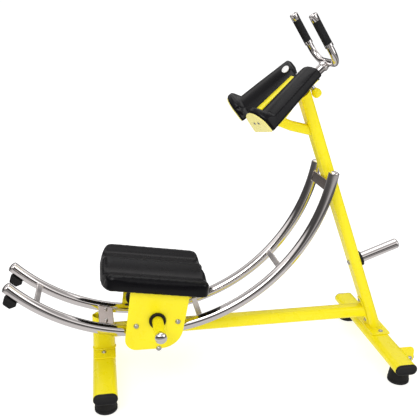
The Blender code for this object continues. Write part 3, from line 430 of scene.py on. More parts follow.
def foot(end, side, sign):
    """The end of a foot bar: a moulded cap with a raised face and a tapered, grooved rubber foot."""
    low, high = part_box(f"foot_cap_{end}_{side}")
    tip = high.y if sign > 0 else low.y
    stations = [(0.0184, 0.0030), (0.0050, 0.0030), (0.0049, 0.0), (0.0022, 0.0), (0.0010, 0.0005),
                (0.0003, 0.0016), (0.0, 0.0034), (0.0, 0.0060), (0.0008, 0.0072), (0.0008, 0.0150)]
    rings = []
    for inward, shrink in stations:
        place = Vector(((low.x + high.x) / 2, tip - sign * inward, (low.z + high.z) / 2))
        outline = oval_outline(BAR_WIDTH - 2 * shrink, BAR_THICK - 2 * shrink)
        rings.append(placed(outline, place, FORE, UP))
    mesh = bmesh.new()
    add_rings(mesh, rings)
    cap = piece(f"bar_cap_{end}_{side}", mesh, NYLON, "frame", 50.0)
    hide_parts(f"foot_cap_{end}_{side}")

    sole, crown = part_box(f"rubber_foot_{end}_{side}")
    base, height = (crown.x - sole.x) / 2, crown.z
    steps = [(0.0060, 0.0), (0.0020, 0.0006), (0.0, 0.0030), (0.0, 0.0115), (0.0012, 0.0128),
             (0.0020, 0.0128), (0.0020, 0.0142), (0.0008, 0.0150), (0.0020, 0.0240), (0.0050, 0.0400),
             (0.0062, height - 0.0020), (0.0075, height)]
    profile = [(base - inward, along) for inward, along in steps]
    place = ((sole.x + crown.x) / 2, (sole.y + crown.y) / 2, 0.0)
    rubber = turned(f"foot_rubber_{end}_{side}", profile, place, UP, RUBBER, "frame", 56,
                    smooth=60.0)
    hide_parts(f"rubber_foot_{end}_{side}")


def foot_bar(end):
    """A flat-oval tube, skinned along its outside and back along its bore."""
    low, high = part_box(f"{end}_foot_bar")
    centre = (low + high) / 2
    rings = []
    for y, wall in ((low.y, 0.0), (high.y, 0.0), (high.y, BAR_WALL), (low.y, BAR_WALL)):
        outline = oval_outline(BAR_WIDTH - 2 * wall, BAR_THICK - 2 * wall)
        rings.append(placed(outline, Vector((centre.x, y, centre.z)), FORE, UP))
    mesh = bmesh.new()
    add_rings(mesh, rings, loop=True)
    bar = piece(f"{end}_foot_tube", mesh, YELLOW, "frame")
    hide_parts(f"{end}_foot_bar")


# ---------- track

def rail(side, sign):
    """A bent chrome tube with a pressed-in domed plug at each end."""
    y, steps = sign * RAIL_GAUGE, 150
    angles = [RAIL_START + (RAIL_END - RAIL_START) * i / steps for i in range(steps + 1)]
    rings = swept([on_arc(angle, RAIL_ARC, y) for angle in angles], ACROSS, RAIL_RADIUS, 40)
    mesh = bmesh.new()
    add_rings(mesh, rings)
    tube = piece(f"rail_tube_{side}", mesh, CHROME, "frame")
    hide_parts(f"rail_{side}")

    seam = RAIL_RADIUS - 0.0012
    profile = [(seam, GAP), (seam, 0.0010), (RAIL_RADIUS, 0.0014)] + dome(RAIL_RADIUS, 0.0082, 10, 0.0030)
    for level, angle, way in (("low", RAIL_START, -1), ("high", RAIL_END, 1)):
        turn = math.radians(angle)
        axis = Vector((math.cos(turn), 0.0, math.sin(turn))) * way
        plug = turned(f"rail_plug_{level}_{side}", profile, on_arc(angle, RAIL_ARC, y), axis, CHROME,
                      "frame", 48, smooth=60.0)
        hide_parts(f"rail_cap_{level}_{side}")


def weld_bead(name, points, material, radius):
    """A closed weld bead whose ripples follow each other along the joint."""
    depth, pace = 0.16, 2.1
    rings = []
    for i, point in enumerate(points):
        way = (points[(i + 1) % len(points)] - points[i - 1]).normalized()
        side = way.cross(UP if abs(way.z) < 0.9 else ACROSS).normalized()
        rings.append(circle(point, side, way.cross(side), radius * (1.0 + depth * math.sin(pace * i)), 10))
    mesh = bmesh.new()
    add_rings(mesh, rings, loop=True)
    return piece(name, mesh, material, "frame", 80.0)


def post_welds():
    """Beads where the two posts meet their base plates."""
    bead, stand_off = 0.0028, 0.003
    low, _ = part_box("front_upright")
    outline = oval_outline(UPRIGHT_WIDTH + stand_off, POST_THICK + stand_off, 30)
    centre = Vector((front_x(UPRIGHT_OFFSET), 0.0, low.z + BASE_PLATE))
    weld_bead("weld_front_upright", placed(outline, centre, FORE, ACROSS), YELLOW, bead)

    low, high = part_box("rear_post")
    slanted = POST_THICK / math.cos(math.radians(POST_LEAN))
    outline = oval_outline(POST_WIDTH + stand_off, slanted + stand_off, 30)
    centre = Vector((high.x - POST_FOOT, 0.0, low.z + BASE_PLATE))
    weld_bead("weld_rear_post", placed(outline, centre, ACROSS, FORE), YELLOW, bead)


def rung_welds():
    """Beads round each cross bar where it meets a rail."""
    bead, bury, stand_off, thick = 0.0017, 0.0006, 0.003, 0.010
    for node, half in RUNG_HALF.items():
        centre = middle(node)
        spoke = (centre - ARC_CENTRE).normalized()
        along = Vector((-spoke.z, 0.0, spoke.x))
        outline = oval_outline(2 * half + stand_off, thick, 8)
        for side, sign in SIDES.items():
            root = centre + ACROSS * sign * (RAIL_GAUGE - RAIL_RADIUS - bury)
            weld_bead(f"weld_{node}_{side}", placed(outline, root, along, spoke), CHROME, bead)


# ---------- fasteners

def button_bolt(name, place, axis, body, size):
    """A button-head bolt with a hex socket, on a washer."""
    radius, height, washer = size
    across, up = square_to(axis)
    place, axis = Vector(place), Vector(axis).normalized()
    edge, sides = 52, 36                   # the head's curve ends here, in degrees, at its flat top
    profile = [(washer, 0.0), (washer, WASHER - 0.0003), (washer - 0.0003, WASHER),
               (radius + 0.0002, WASHER)]
    profile += [(radius * math.cos(math.radians(a)), WASHER + height * math.sin(math.radians(a)))
                for a in (0, 18, 36, edge)]
    rings = turned_rings(profile, place, axis, sides)
    top = WASHER + height * math.sin(math.radians(edge))
    socket = radius * 0.48 * math.cos(math.pi / 6)
    for depth in (top, top - height * 0.55):
        ring = []
        for i in range(sides):
            angle = math.tau * i / sides
            reach = socket / math.cos(angle % (math.pi / 3) - math.pi / 6)
            ring.append(place + axis * depth + (across * math.cos(angle) + up * math.sin(angle)) * reach)
        rings.append(ring)
    mesh = bmesh.new()
    add_rings(mesh, rings)
    return piece(name, mesh, STEEL, body, 30.0)


def hex_nut(name, place, axis, body, size, height):
    """A hexagon nut with a chamfered top, and the bolt's end standing out of it."""
    across, up = square_to(axis)
    place, axis = Vector(place), Vector(axis).normalized()
    mesh = bmesh.new()
    add_rings(mesh, [circle(place + axis * depth, across, up, size * share, 6)
                     for depth, share in ((0.0, 1.0), (height * 0.8, 1.0), (height, 0.88))])
    stub = size * 0.5
    profile = [(stub, height * 0.5), (stub, height + 0.0025), (stub * 0.8, height + 0.0035)]
    add_rings(mesh, turned_rings(profile, place, axis, 18))
    return piece(name, mesh, STEEL, body, 30.0)


def beam_flange():
    """A bolted plate that ends the main beam on the post's front face."""
    length, width, thick, bolt_spread = 0.122, 0.044, 0.0035, 0.045
    up = Vector((-POST_BACK.z, 0.0, POST_BACK.x))
    root = POST_FRONT_FACE + up * ((middle("main_beam").z - POST_FRONT_FACE.z) / up.z)
    outline = oval_outline(length, width, 4)
    mesh = bmesh.new()
    add_rings(mesh, [placed(outline, root - POST_BACK * depth, up, ACROSS) for depth in (0.0002, thick)])
    piece("beam_end_plate", mesh, YELLOW, "frame", 30.0)
    for label, way in (("low", -1), ("high", 1)):
        place = root - POST_BACK * thick + up * way * bolt_spread
        button_bolt(f"beam_bolt_{label}", place, -POST_BACK, "frame", BEAM_BOLT)


def fasteners():
    """Bolts through both base plates, the front bracket and the post, and the axles' heads."""
    front_spread, rear_spread, rear_shift = 0.040, 0.058, 0.008
    nut_spread, nut_drop, nut_size, nut_height = 0.045, 0.0042, 0.0062, 0.0055
    plate_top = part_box("front_upright")[0].z + BASE_PLATE
    rows = (("front", front_x(0.0), front_spread),
            ("rear", middle("rear_foot_bar").x + rear_shift, rear_spread))
    for side, sign in SIDES.items():
        for end, x, spread in rows:
            button_bolt(f"base_bolt_{end}_{side}", (x, sign * spread, plate_top), UP, "frame", BASE_BOLT)
    bracket = middle("front_bracket")
    spoke = (bracket - ARC_CENTRE).normalized()
    for side, sign in SIDES.items():
        place = bracket - spoke * nut_drop + ACROSS * sign * nut_spread
        hex_nut(f"bracket_nut_{side}", place, -spoke, "frame", nut_size, nut_height)
    button_bolt("storage_bolt", POST_FRONT_FACE, -POST_BACK, "frame", POST_BOLT)
    for side, sign in SIDES.items():
        heads = {f"{axle}_head_{side}": axle for axle in ("upper_front_axle", "upper_rear_axle")}
        heads[f"lower_axle_head_{side}"] = f"lower_axle_{side}"
        for name, axle in heads.items():
            place = (middle(axle).x, sign * (CHEEK_FACE + 0.0002), middle(axle).z)
            button_bolt(name, place, ACROSS * sign, "carriage", AXLE_HEAD)
    place = (middle("wheel_axle").x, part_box("wheel_bracket")[0].y - GAP, middle("wheel_axle").z)
    button_bolt("wheel_bolt_head", place, -ACROSS, "frame", WHEEL_BOLT)


# ---------- pegs, wheel and pull pin

def rubber_collar(name, place, axis, body, node):
    """A moulded ring with rounded lips round the root of a peg."""
    bore, root_lip, lip = PEG_RADIUS + GAP, 0.0015, 0.0035
    top = GAP + COLLAR_THICK
    profile = [(bore, GAP), (COLLAR_RADIUS - 0.0020, GAP)]
    profile += corner(COLLAR_RADIUS - root_lip, GAP + root_lip, root_lip, (-90, -45, 0))
    profile.append((COLLAR_RADIUS, top - lip))
    profile += corner(COLLAR_RADIUS - lip, top - lip, lip, (30, 60, 90))
    profile += [(bore + 0.0020, top), (bore, top - 0.0015)]
    made = turned(name, profile, place, axis, RUBBER, body, 56, loop=True, smooth=50.0)
    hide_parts(node)


def weight_peg(side, sign):
    """A painted tube with a chrome domed end cap that stands a little proud of it."""
    low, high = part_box(f"weight_peg_{side}")
    start, tip = (high.y, low.y) if sign < 0 else (low.y, high.y)
    length, x, z = abs(tip - start), (low.x + high.x) / 2, (low.z + high.z) / 2
    outline = [(PEG_RADIUS, 0.0), (PEG_RADIUS, length - 0.0200)]
    tube = turned(f"peg_tube_{side}", outline, (x, start, z), ACROSS * sign, YELLOW, "carriage",
                  56)
    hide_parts(f"weight_peg_{side}")
    proud, rim = PEG_RADIUS + 0.0011, length - 0.0120
    cap = [(PEG_RADIUS - 0.0004, length - 0.0215), (PEG_RADIUS + 0.0006, length - 0.0212),
           (proud, length - 0.0205)] + dome(proud, 0.0130, 12, rim)
    turned(f"peg_cap_{side}", cap, (x, start, z), ACROSS * sign, CHROME, "carriage", 56,
           smooth=60.0)
    rubber_collar(f"peg_ring_{side}", (x, sign * CHEEK_FACE, z), ACROSS * sign, "carriage",
                  f"peg_collar_{side}")


def storage_peg():
    """A chrome tube with a seam before its domed end, on the post's back face."""
    root, length, seam = POST_BACK_FACE - POST_BACK * GAP, STORAGE_LENGTH, PEG_RADIUS - 0.0006
    profile = [(PEG_RADIUS, 0.0), (PEG_RADIUS, length - 0.0130), (seam, length - 0.0128),
               (seam, length - 0.0120), (PEG_RADIUS, length - 0.0118)]
    profile += dome(PEG_RADIUS, 0.0110, 12, length - 0.0110)
    peg = turned("disc_peg", profile, root, POST_BACK, CHROME, "frame", 56, smooth=60.0)
    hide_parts("storage_peg")
    rubber_collar("disc_peg_ring", root, POST_BACK, "frame", "storage_collar")


def pull_knob():
    """A turned knob on its polished pin, under a threaded neck welded to the head tube."""
    root, under = at_head(PIN_STATION), -HEAD_HALF
    neck = [(0.0088, under - 0.0002), (0.0092, under - 0.0010), (0.0092, under - 0.0110),
            (0.0080, under - 0.0122), (0.0072, under - 0.0122)]
    turned("pin_neck", neck, root, HEAD_UP, STEEL, "frame", 40)
    pin = [(0.0040, -0.0122), (0.0040, under - 0.0190)]
    turned("pin_shaft", pin, root, HEAD_UP, STEEL, "pull_pin", 24)
    top, bottom = under - 0.0150, under - 0.0480
    profile = [(0.0060, top + 0.0008), (0.0100, top), (0.0112, top - 0.0020), (0.0112, top - 0.0045),
               (0.0142, top - 0.0080), (0.0160, top - 0.0125), (0.0166, top - 0.0175),
               (0.0160, top - 0.0230), (0.0140, top - 0.0280), (0.0105, bottom + 0.0018),
               (0.0060, bottom + 0.0003), (0.0008, bottom)]
    knob = turned("pull_knob", profile, root, HEAD_UP, YELLOW, "pull_pin", 48, smooth=60.0)
    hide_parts("pull_pin")


def wheel():
    """A solid rubber tyre with a groove each side of its hub, all turned in one rubber piece."""
    low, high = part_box("transport_wheel")
    radius, half, bore = (high.x - low.x) / 2, (high.y - low.y) / 2, 0.0042
    profile = [(bore, -half), (0.0085, -half), (0.0090, -half + 0.0012), (0.0155, -half + 0.0012),
               (0.0160, -half), (radius - 0.0045, -half), (radius - 0.0012, -half + 0.0014),
               (radius, -half + 0.0045)]
    profile += [(r, -along) for r, along in reversed(profile)]
    made = turned("wheel_tyre", profile, (low + high) / 2, ACROSS, RUBBER, "transport_wheel", 56,
                  loop=True, smooth=45.0)
    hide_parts("transport_wheel")


# ---------- handlebar

def handlebar():
    """A bent chrome U on its telescoping stem, with grips, end collars and domed caps."""
    lean = math.radians(HANDLE_LEAN)
    rise = Vector((-math.sin(lean), 0.0, math.cos(lean)))
    root = at_head(STEM_END)
    normal = ACROSS.cross(rise).normalized()
    right = [(x, 0.0) for x in (0.0, 0.017, 0.034)]
    right += [(HANDLE_HALF - HANDLE_BEND * (1.0 - math.sin(math.radians(a))),
               HANDLE_BEND * (1.0 - math.cos(math.radians(a)))) for a in range(0, 91, 5)]
    right += [(HANDLE_HALF, height) for height in (0.065, 0.080, 0.110, 0.140, HANDLE_RISE)]
    path = [(-x, z) for x, z in reversed(right[1:])] + right
    mesh = bmesh.new()
    add_rings(mesh, swept([root + ACROSS * x + rise * z for x, z in path], normal, HANDLE_RADIUS, 40))
    stem = [(STEM_RADIUS, STEM_START), (STEM_RADIUS, STEM_END - 0.006)]
    add_rings(mesh, turned_rings(stem, HEAD_ROOT, HEAD_ALONG, 48))
    bar = piece("u_bar", mesh, CHROME, "handlebar")
    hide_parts("handlebar")
    steps = [(0.0004, 0.0260), (0.0030, 0.0250), (0.0030, 0.0150), (0.0018, 0.0135), (0.0004, 0.0130)]
    ring = [(STEM_RADIUS + proud, STEM_END - below) for proud, below in steps]
    turned("stem_ring", ring, HEAD_ROOT, HEAD_ALONG, CHROME, "handlebar", 48)
    for side, sign in SIDES.items():
        foot_of_arm = root + ACROSS * sign * HANDLE_HALF
        arm_grip(side, foot_of_arm, rise)
        arm_caps(side, foot_of_arm, rise)


def arm_grip(side, start, rise):
    """A finely ribbed rubber sleeve."""
    low, high = GRIP_START - GRIP_DROP, GRIP_START + GRIP_LENGTH - GRIP_CUT
    bore, outer, groove = HANDLE_RADIUS + GAP, GRIP_RADIUS, GRIP_RADIUS - 0.0004
    ribs, margin = 22, 0.004
    profile = [(bore, low), (outer - 0.0012, low), (outer - 0.0002, low + 0.0010)]
    pitch = (high - low - 2 * margin) / ribs
    for i in range(ribs):
        base = low + margin + pitch * i
        profile += [(outer, base), (outer, base + pitch * 0.6), (groove, base + pitch * 0.7),
                    (groove, base + pitch * 0.9)]
    profile += [(outer, high - margin), (outer - 0.0002, high - 0.0010), (outer - 0.0012, high),
                (bore, high)]
    grip = turned(f"grip_sleeve_{side}", profile, start, rise, GRIP, "handlebar", 40, loop=True,
                  smooth=50.0)
    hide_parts(f"grip_{side}")


def arm_caps(side, start, rise):
    """Chrome collar below the grip and a flat-topped cap with a dished face above it."""
    bore, wide, round_edge = HANDLE_RADIUS + 0.0002, GRIP_RADIUS + 0.0003, 0.0030
    low = GRIP_START - GRIP_DROP
    collar = [(bore, low - 0.0110), (wide - 0.0012, low - 0.0106), (wide, low - 0.0094),
              (wide, low + 0.0004), (wide - 0.0008, low + 0.0012), (bore, low + 0.0014)]
    turned(f"grip_collar_{side}", collar, start, rise, CHROME, "handlebar", 40)
    root, top = GRIP_START + GRIP_LENGTH - GRIP_CUT, HANDLE_RISE + 0.0050
    cap = [(bore, root - 0.0014), (wide - 0.0008, root - 0.0012), (wide, root - 0.0004),
           (wide, top - 0.0035)]
    cap += corner(wide - round_edge, top - round_edge, round_edge, (0, 30, 60, 90))
    cap += [(0.0085, top), (0.0078, top - 0.0010), (0.0070, top - 0.0022), (0.0020, top - 0.0028)]
    turned(f"arm_cap_{side}", cap, start, rise, CHROME, "handlebar", 40, smooth=45.0)


# ---------- padded pieces

def smooth_step(value):
    """Ease from 0 to 1."""
    value = max(0.0, min(1.0, value))
    return value * value * (3.0 - 2.0 * value)


def rounding(distance, size):
    """How far a quarter-round edge of a size has dropped at a distance from the edge."""
    return size - math.sqrt(size * size - (size - distance) ** 2) if distance < size else 0.0


def voxel_copy(name, mesh, voxel):
    """Even out a closed mesh with a voxel remesh, laid back on the surface it came from."""
    bmesh.ops.recalc_face_normals(mesh, faces=mesh.faces)
    surface = BVHTree.FromBMesh(mesh)
    data = bpy.data.meshes.new(name)
    mesh.to_mesh(data)
    mesh.free()
    pad = bpy.data.objects.new(name, data)
    bpy.context.scene.collection.objects.link(pad)
    remesh = pad.modifiers.new("remesh", "REMESH")
    remesh.mode = "VOXEL"
    remesh.voxel_size = voxel
    graph = bpy.context.evaluated_depsgraph_get()
    even = bpy.data.meshes.new_from_object(pad.evaluated_get(graph))
    pad.modifiers.remove(remesh)
    pad.data = even
    bpy.data.meshes.remove(data)
    for vertex in even.vertices:
        vertex.co = surface.find_nearest(vertex.co)[0]
    return pad


def inflate(pad, base, up, furthest):
    """Foam under a skin: cloth under pressure, its underside held, no point moved too far."""
    rest = [vertex.co.copy() for vertex in pad.data.vertices]
    held = pad.vertex_groups.new(name="held")
    held.add([i for i, point in enumerate(rest) if (point - base).dot(up) < HELD_HEIGHT], 1.0, "REPLACE")
    cloth = pad.modifiers.new("foam", "CLOTH")
    cloth.settings.quality = 5
    cloth.settings.mass = 0.3
    cloth.settings.tension_stiffness = 25.0
    cloth.settings.compression_stiffness = 25.0
    cloth.settings.bending_stiffness = 4.0
    cloth.settings.use_pressure = True
    cloth.settings.uniform_pressure_force = FOAM_PRESSURE
    cloth.settings.effector_weights.gravity = 0.0
    cloth.settings.vertex_group_mass = "held"
    scene = bpy.context.scene
    for step in range(1, FOAM_FRAMES + 1):
        scene.frame_set(step)
    graph = bpy.context.evaluated_depsgraph_get()
    swollen = [vertex.co.copy() for vertex in pad.evaluated_get(graph).data.vertices]
    pad.modifiers.remove(cloth)
    pad.vertex_groups.clear()
    scene.frame_set(1)
    for vertex, before, after in zip(pad.data.vertices, rest, swollen):
        move = after - before
        if move.length > furthest:
            move *= furthest / move.length
        vertex.co = before + move


def soften(pad, rounds):
    """Even out the voxel steps."""
    mesh = bmesh.new()
    mesh.from_mesh(pad.data)
    for _ in range(rounds):
        bmesh.ops.smooth_vert(mesh, verts=mesh.verts, factor=0.5, use_axis_x=True, use_axis_y=True,
                              use_axis_z=True)
    mesh.to_mesh(pad.data)
    mesh.free()


def finish_pad(pad, node, body):
    """Skin, final smoothing, and what the pad rides on and stands for."""
    pad.data.materials.clear()
    pad.data.materials.append(SKIN)
    pad.data.shade_smooth()
    smoother = pad.modifiers.new("subdivide", "SUBSURF")
    smoother.levels = 1
    smoother.render_levels = 1
    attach(pad, body)
    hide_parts(node)


def pad_frame(sign):
    """An elbow pad's middle, the way along it and the way out from it."""
    splay = math.radians(PAD_SPLAY)
    along = HEAD_ALONG * math.cos(splay) - ACROSS * sign * math.sin(splay)
    outward = HEAD_ALONG * math.sin(splay) + ACROSS * sign * math.cos(splay)
    return at_head(PAD_MIDDLE, PAD_BASE, sign * PAD_MIDDLE_Y), along, outward


def elbow_section(width, shoulder, height, skirt):
    """Flat underneath, drafted sides up to a crease, and a curved crown between the creases."""
    half, knee, edge, steps = width / 2, 0.4 * shoulder, 0.004, 14
    points = [(-half - skirt + 0.006, 0.0), (-half - skirt, edge), (-half - 0.6 * skirt, knee),
              (-half, shoulder)]
    rise = height - shoulder
    radius = (half * half + rise * rise) / (2 * rise)
    opening = math.asin(min(1.0, half / radius))
    if rise > half:
        opening = math.pi - opening
    for step in range(1, steps):
        angle = -opening + 2 * opening * step / steps
        points.append((radius * math.sin(angle), height - radius + radius * math.cos(angle)))
    points += [(half, shoulder), (half - 0.001, knee), (half - 0.002, edge), (half - 0.008, 0.0)]
    return points


def elbow_rings(sign):
    """The forearm trough's half barrel, rising into a rounded stop behind the elbow."""
    centre, along, outward = pad_frame(sign)
    steps = 50
    rings = []
    for i in range(steps + 1):
        share = i / steps
        from_low, from_high = PAD_LENGTH * share, PAD_LENGTH * (1.0 - share)
        width = PAD_LOW_WIDTH + (PAD_HIGH_WIDTH - PAD_LOW_WIDTH) * share
        stop = 1.0 - smooth_step((from_low - STOP_LENGTH) / STOP_BLEND)
        height = PAD_HEIGHT - PAD_HEIGHT_LOSS * share
        height += (STOP_HEIGHT - height) * stop
        shoulder = PAD_SHOULDER - PAD_SHOULDER_LOSS * share
        shoulder += (STOP_SHOULDER - shoulder) * stop
        tuck = rounding(from_low, PAD_LOW_ROUND) + rounding(from_high, PAD_HIGH_ROUND)
        section = elbow_section(width - 2 * tuck, shoulder - 0.4 * tuck, height - tuck, PAD_SKIRT)
        rings.append(placed(section, centre + along * (from_low - PAD_LENGTH / 2), outward, HEAD_UP))
    return rings


def elbow_pads():
    """Both moulded elbow pads, with their end boards and plugs."""
    for side, sign in SIDES.items():
        mesh = bmesh.new()
        add_rings(mesh, elbow_rings(sign))
        pad = voxel_copy(f"elbow_cushion_{side}", mesh, ELBOW_VOXEL)
        soften(pad, 2)
        inflate(pad, pad_frame(sign)[0], HEAD_UP, ELBOW_SWELL)
        finish_pad(pad, f"elbow_pad_{side}", "frame")
        elbow_board(side, sign)
        pad_plug(side, sign)


def pad_spine():
    """A painted channel on the plate between the elbow pads."""
    half, low, high, lip, start = 0.021, 0.0257, 0.0490, 0.0030, -0.166
    cut = 0.3 * lip
    outline = [(-half, low), (half, low), (half, high - lip), (half - cut, high - cut), (half - lip, high),
               (lip - half, high), (cut - half, high - cut), (-half, high - lip)]
    mesh = bmesh.new()
    add_rings(mesh, [placed(outline, at_head(station), ACROSS, HEAD_UP) for station in (start, 0.0)])
    piece("pad_spine", mesh, YELLOW, "frame", 50.0)


def elbow_board(side, sign):
    """The powder-coated yellow end board behind the elbow stop, made paler as painted light, and its two
    screws.
    """
    centre, along, outward = pad_frame(sign)
    pivot, lift, thick, chamfer, screw_spread = 0.040, 0.001, 0.0032, 0.0010, 0.014
    end = centre - along * (PAD_LENGTH / 2 + 0.0004)
    section = elbow_section(PAD_LOW_WIDTH - 0.010, STOP_SHOULDER - 0.002, STOP_HEIGHT - 0.0065,
                            PAD_SKIRT - 0.004)
    rings = []
    for depth, share in ((0.0, 1.0), (thick - chamfer, 1.0), (thick, 0.985)):
        outline = [(x * share, pivot + (z + lift - pivot) * share) for x, z in section]
        rings.append(placed(outline, end - along * depth, outward, HEAD_UP))
    mesh = bmesh.new()
    add_rings(mesh, rings)
    piece(f"elbow_board_{side}", mesh, PALE_LIT_YELLOW, "frame", 30.0)
    for label, way in (("a", -1), ("b", 1)):
        place = end - along * (thick + 0.0001) + outward * way * screw_spread + HEAD_UP * pivot
        button_bolt(f"board_screw_{label}_{side}", place, -along, "frame", BOARD_SCREW)


def pad_plug(side, sign):
    """A white plug in the crown's inner side, near the elbow pad's upper end."""
    centre, along, outward = pad_frame(sign)
    lean, from_end, inward, height = math.radians(27), 0.024, 0.0355, 0.0385
    normal = HEAD_UP * math.cos(lean) - outward * math.sin(lean)
    spot = centre + along * (PAD_LENGTH / 2 - from_end) - outward * inward + HEAD_UP * height
    profile = [(0.0140, -0.0030), (0.0140, 0.0006), (0.0132, 0.0014), (0.0118, 0.0014)]
    profile += dome(0.0112, 0.0012, 4, 0.0008)
    turned(f"pad_plug_{side}", profile, spot, normal, PLUG, "frame", 40)


def knee_height(share):
    """Height of the knee pad's skin across its half width: middle ridge, shin trough, rim."""
    if share < TROUGH_SHARE:
        return KNEE_TROUGH + (KNEE_RIDGE - KNEE_TROUGH) * (1.0 - share / TROUGH_SHARE) ** RIDGE_POWER
    climb = smooth_step((share - TROUGH_SHARE) / (RIM_SHARE - TROUGH_SHARE))
    return KNEE_TROUGH + (KNEE_RIM - KNEE_TROUGH) * climb


def knee_frame():
    """The middle of the knee pad's underside, the way along it and the way up from it."""
    tilt = math.radians(SEAT_TILT)
    along = Vector((math.cos(tilt), 0.0, math.sin(tilt)))
    up = Vector((-along.z, 0.0, along.x))
    return middle("mount_plate") + up * (MOUNT_HALF + GAP) + along * SEAT_SHIFT, along, up


def knee_reach(share, rear):
    """Half length of the knee pad across its width: rounded corners and a notch at the rear's ridge."""
    length, width = REAR_CORNER if rear else FRONT_CORNER
    reach = KNEE_LENGTH / 2
    inward = (1.0 - abs(share)) * KNEE_WIDTH / 2
    if inward < width:
        reach -= length * (1.0 - math.sqrt(1.0 - ((width - inward) / width) ** 2))
    if rear:
        reach -= NOTCH_DEPTH * math.exp(-(share / NOTCH_SHARE) ** 2)
    return reach


def knee_slab():
    """A height field over a flat underside: ends and long edges roll over to upright sides."""
    base, along, up = knee_frame()
    columns, rows = 48, 60
    mesh = bmesh.new()
    top, under = [], []
    for i in range(rows + 1):
        t = math.sin(math.pi / 2 * (2 * i / rows - 1))
        top.append([])
        under.append([])
        for j in range(columns + 1):
            share = math.sin(math.pi / 2 * (2 * j / columns - 1))
            reach = knee_reach(share, t > 0)
            x, y = t * reach, share * KNEE_WIDTH / 2
            height = knee_height(abs(share)) - rounding(reach - abs(x), KNEE_END_ROLL)
            height -= rounding(KNEE_WIDTH / 2 - abs(y), KNEE_SIDE_ROLL)
            spot = base + along * x + ACROSS * y
            top[i].append(mesh.verts.new(spot + up * max(height, KNEE_EDGE)))
            under[i].append(mesh.verts.new(spot))
    for grid in (top, under):
        for one, two in zip(grid, grid[1:]):
            for j in range(columns):
                mesh.faces.new((one[j], one[j + 1], two[j + 1], two[j]))
    rim = [(0, j) for j in range(columns)] + [(i, columns) for i in range(rows)]
    rim += [(rows, j) for j in range(columns, 0, -1)] + [(i, 0) for i in range(rows, 0, -1)]
    for (a, b), (c, d) in zip(rim, rim[1:] + rim[:1]):
        mesh.faces.new((top[a][b], top[c][d], under[c][d], under[a][b]))
    return mesh


def knee_pad():
    """The moulded pad on the carriage, with a trough for each shin."""
    base, _, up = knee_frame()
    pad = voxel_copy("knee_cushion", knee_slab(), KNEE_VOXEL)
    soften(pad, 5)
    inflate(pad, base, up, KNEE_SWELL)
    finish_pad(pad, "knee_pad", "carriage")


# ---------- studio

def floor_material():
    """White studio paper; mirrors see it with its darker edge and the room beyond."""
    material, tree, shader = new_material("floor_paper", (0.55, 0.55, 0.55), 0.9)
    vector = coordinates(tree)
    tree.links.new(ramp(tree, noise(tree, vector, 3.0), 0.88, 0.94), shader.inputs["Roughness"])
    shader.inputs["Emission Color"].default_value = (1.0, 1.0, 1.0, 1.0)
    distance = tree.nodes.new("ShaderNodeVectorMath")
    distance.operation = "LENGTH"
    tree.links.new(vector, distance.inputs[0])
    lift = ramp(tree, distance.outputs["Value"], 0.66, 0.85, 0.6, 3.5)
    tree.links.new(lift, shader.inputs["Emission Strength"])
    share = ramp(tree, distance.outputs["Value"], 0.0, 1.0, 0.0, 8.0)
    rings = stepped(tree, share, [(0.00, 0.62), (0.12, 0.72), (0.16, 0.30), (0.20, 0.10), (0.26, 0.12),
                                  (0.30, 0.50), (0.45, 0.40), (1.00, 0.15)])
    mirror = tree.nodes.new("ShaderNodeEmission")
    tree.links.new(rings, mirror.inputs["Color"])
    rays = tree.nodes.new("ShaderNodeLightPath")
    pick = tree.nodes.new("ShaderNodeMixShader")
    tree.links.new(rays.outputs["Is Glossy Ray"], pick.inputs["Fac"])
    tree.links.new(shader.outputs["BSDF"], pick.inputs[1])
    tree.links.new(mirror.outputs["Emission"], pick.inputs[2])
    tree.links.new(pick.outputs["Shader"], tree.nodes["Material Output"].inputs["Surface"])
    return material


def stepped(tree, factor, stops):
    """Slightly warm grey levels along a factor."""
    bands = tree.nodes.new("ShaderNodeValToRGB")
    elements = bands.color_ramp.elements
    while len(elements) < len(stops):
        elements.new(0.5)
    for element, (place, level) in zip(elements, stops):
        element.position = place
        element.color = (level, level * 0.975, level * 0.97, 1.0)
    tree.links.new(factor, bands.inputs["Fac"])
    return bands.outputs["Color"]


def paper_floor():
    data = bpy.data.meshes.new("floor")
    corners = [(x * FLOOR_REACH, y * FLOOR_REACH, 0.0) for x, y in ((-1, -1), (1, -1), (1, 1), (-1, 1))]
    data.from_pydata(corners, [], [(0, 1, 2, 3)])
    data.materials.append(floor_material())
    ground = bpy.data.objects.new("floor", data)
    bpy.context.scene.collection.objects.link(ground)


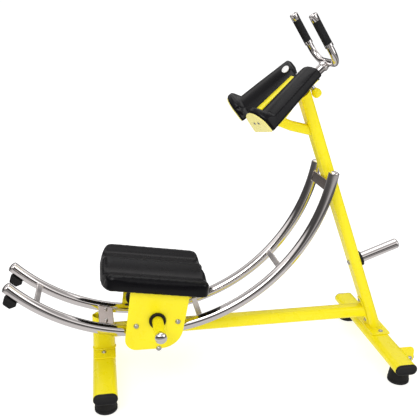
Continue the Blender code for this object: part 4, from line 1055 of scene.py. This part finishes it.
def surroundings():
    """White for the camera, an even grey for soft light, and banded greys for mirrors."""
    world = bpy.data.worlds.new("studio")
    bpy.context.scene.world = world
    world.use_nodes = True
    tree = world.node_tree
    source = tree.nodes.new("ShaderNodeTexCoord")
    split = tree.nodes.new("ShaderNodeSeparateXYZ")
    tree.links.new(source.outputs["Generated"], split.inputs["Vector"])
    height = ramp(tree, split.outputs["Z"], 0.0, 1.0, -1.0, 1.0)
    bands = stepped(tree, height, [(0.00, 0.30), (0.50, 0.10), (0.56, 0.06), (0.66, 0.08), (0.71, 0.95),
                                   (0.80, 1.00), (0.84, 0.35), (0.92, 0.45), (1.00, 0.90)])
    rays = tree.nodes.new("ShaderNodeLightPath")
    soft = tree.nodes.new("ShaderNodeMix")
    soft.data_type = "RGBA"
    soft.inputs["A"].default_value = (WORLD_LEVEL, WORLD_LEVEL, WORLD_LEVEL, 1.0)
    tree.links.new(rays.outputs["Is Glossy Ray"], soft.inputs["Factor"])
    tree.links.new(bands, soft.inputs["B"])
    backdrop = tree.nodes.new("ShaderNodeMix")
    backdrop.data_type = "RGBA"
    backdrop.inputs["B"].default_value = (WHITE_LEVEL, WHITE_LEVEL, WHITE_LEVEL, 1.0)
    tree.links.new(rays.outputs["Is Camera Ray"], backdrop.inputs["Factor"])
    tree.links.new(soft.outputs["Result"], backdrop.inputs["A"])
    tree.links.new(backdrop.outputs["Result"], tree.nodes["Background"].inputs["Color"])


def lamps():
    for name, place, size, power in LAMPS:
        lamp = bpy.data.lights.new(name, "AREA")
        lamp.shape = "SQUARE"
        lamp.size = size
        lamp.energy = power
        holder = bpy.data.objects.new(name, lamp)
        holder.location = place
        holder.rotation_euler = (LAMP_TARGET - Vector(place)).to_track_quat("-Z", "Y").to_euler()
        bpy.context.scene.collection.objects.link(holder)


def camera():
    lens = bpy.data.cameras.new("camera")
    lens.lens = LENS
    lens.sensor_width = SENSOR
    view = bpy.data.objects.new("camera", lens)
    view.location = CAMERA_PLACE
    view.rotation_euler = tuple(math.radians(angle) for angle in CAMERA_TURN)
    bpy.context.scene.collection.objects.link(view)
    bpy.context.scene.camera = view


def build():
    bpy.context.scene.view_settings.view_transform = "Standard"
    camera()
    paper_floor()
    surroundings()
    lamps()
    dress_metal()
    for end in ("front", "rear"):
        foot_bar(end)
        for side, sign in SIDES.items():
            foot(end, side, sign)
    for side, sign in SIDES.items():
        rail(side, sign)
        weight_peg(side, sign)
    post_welds()
    rung_welds()
    fasteners()
    beam_flange()
    storage_peg()
    pull_knob()
    wheel()
    handlebar()
    elbow_pads()
    pad_spine()
    knee_pad()


build()
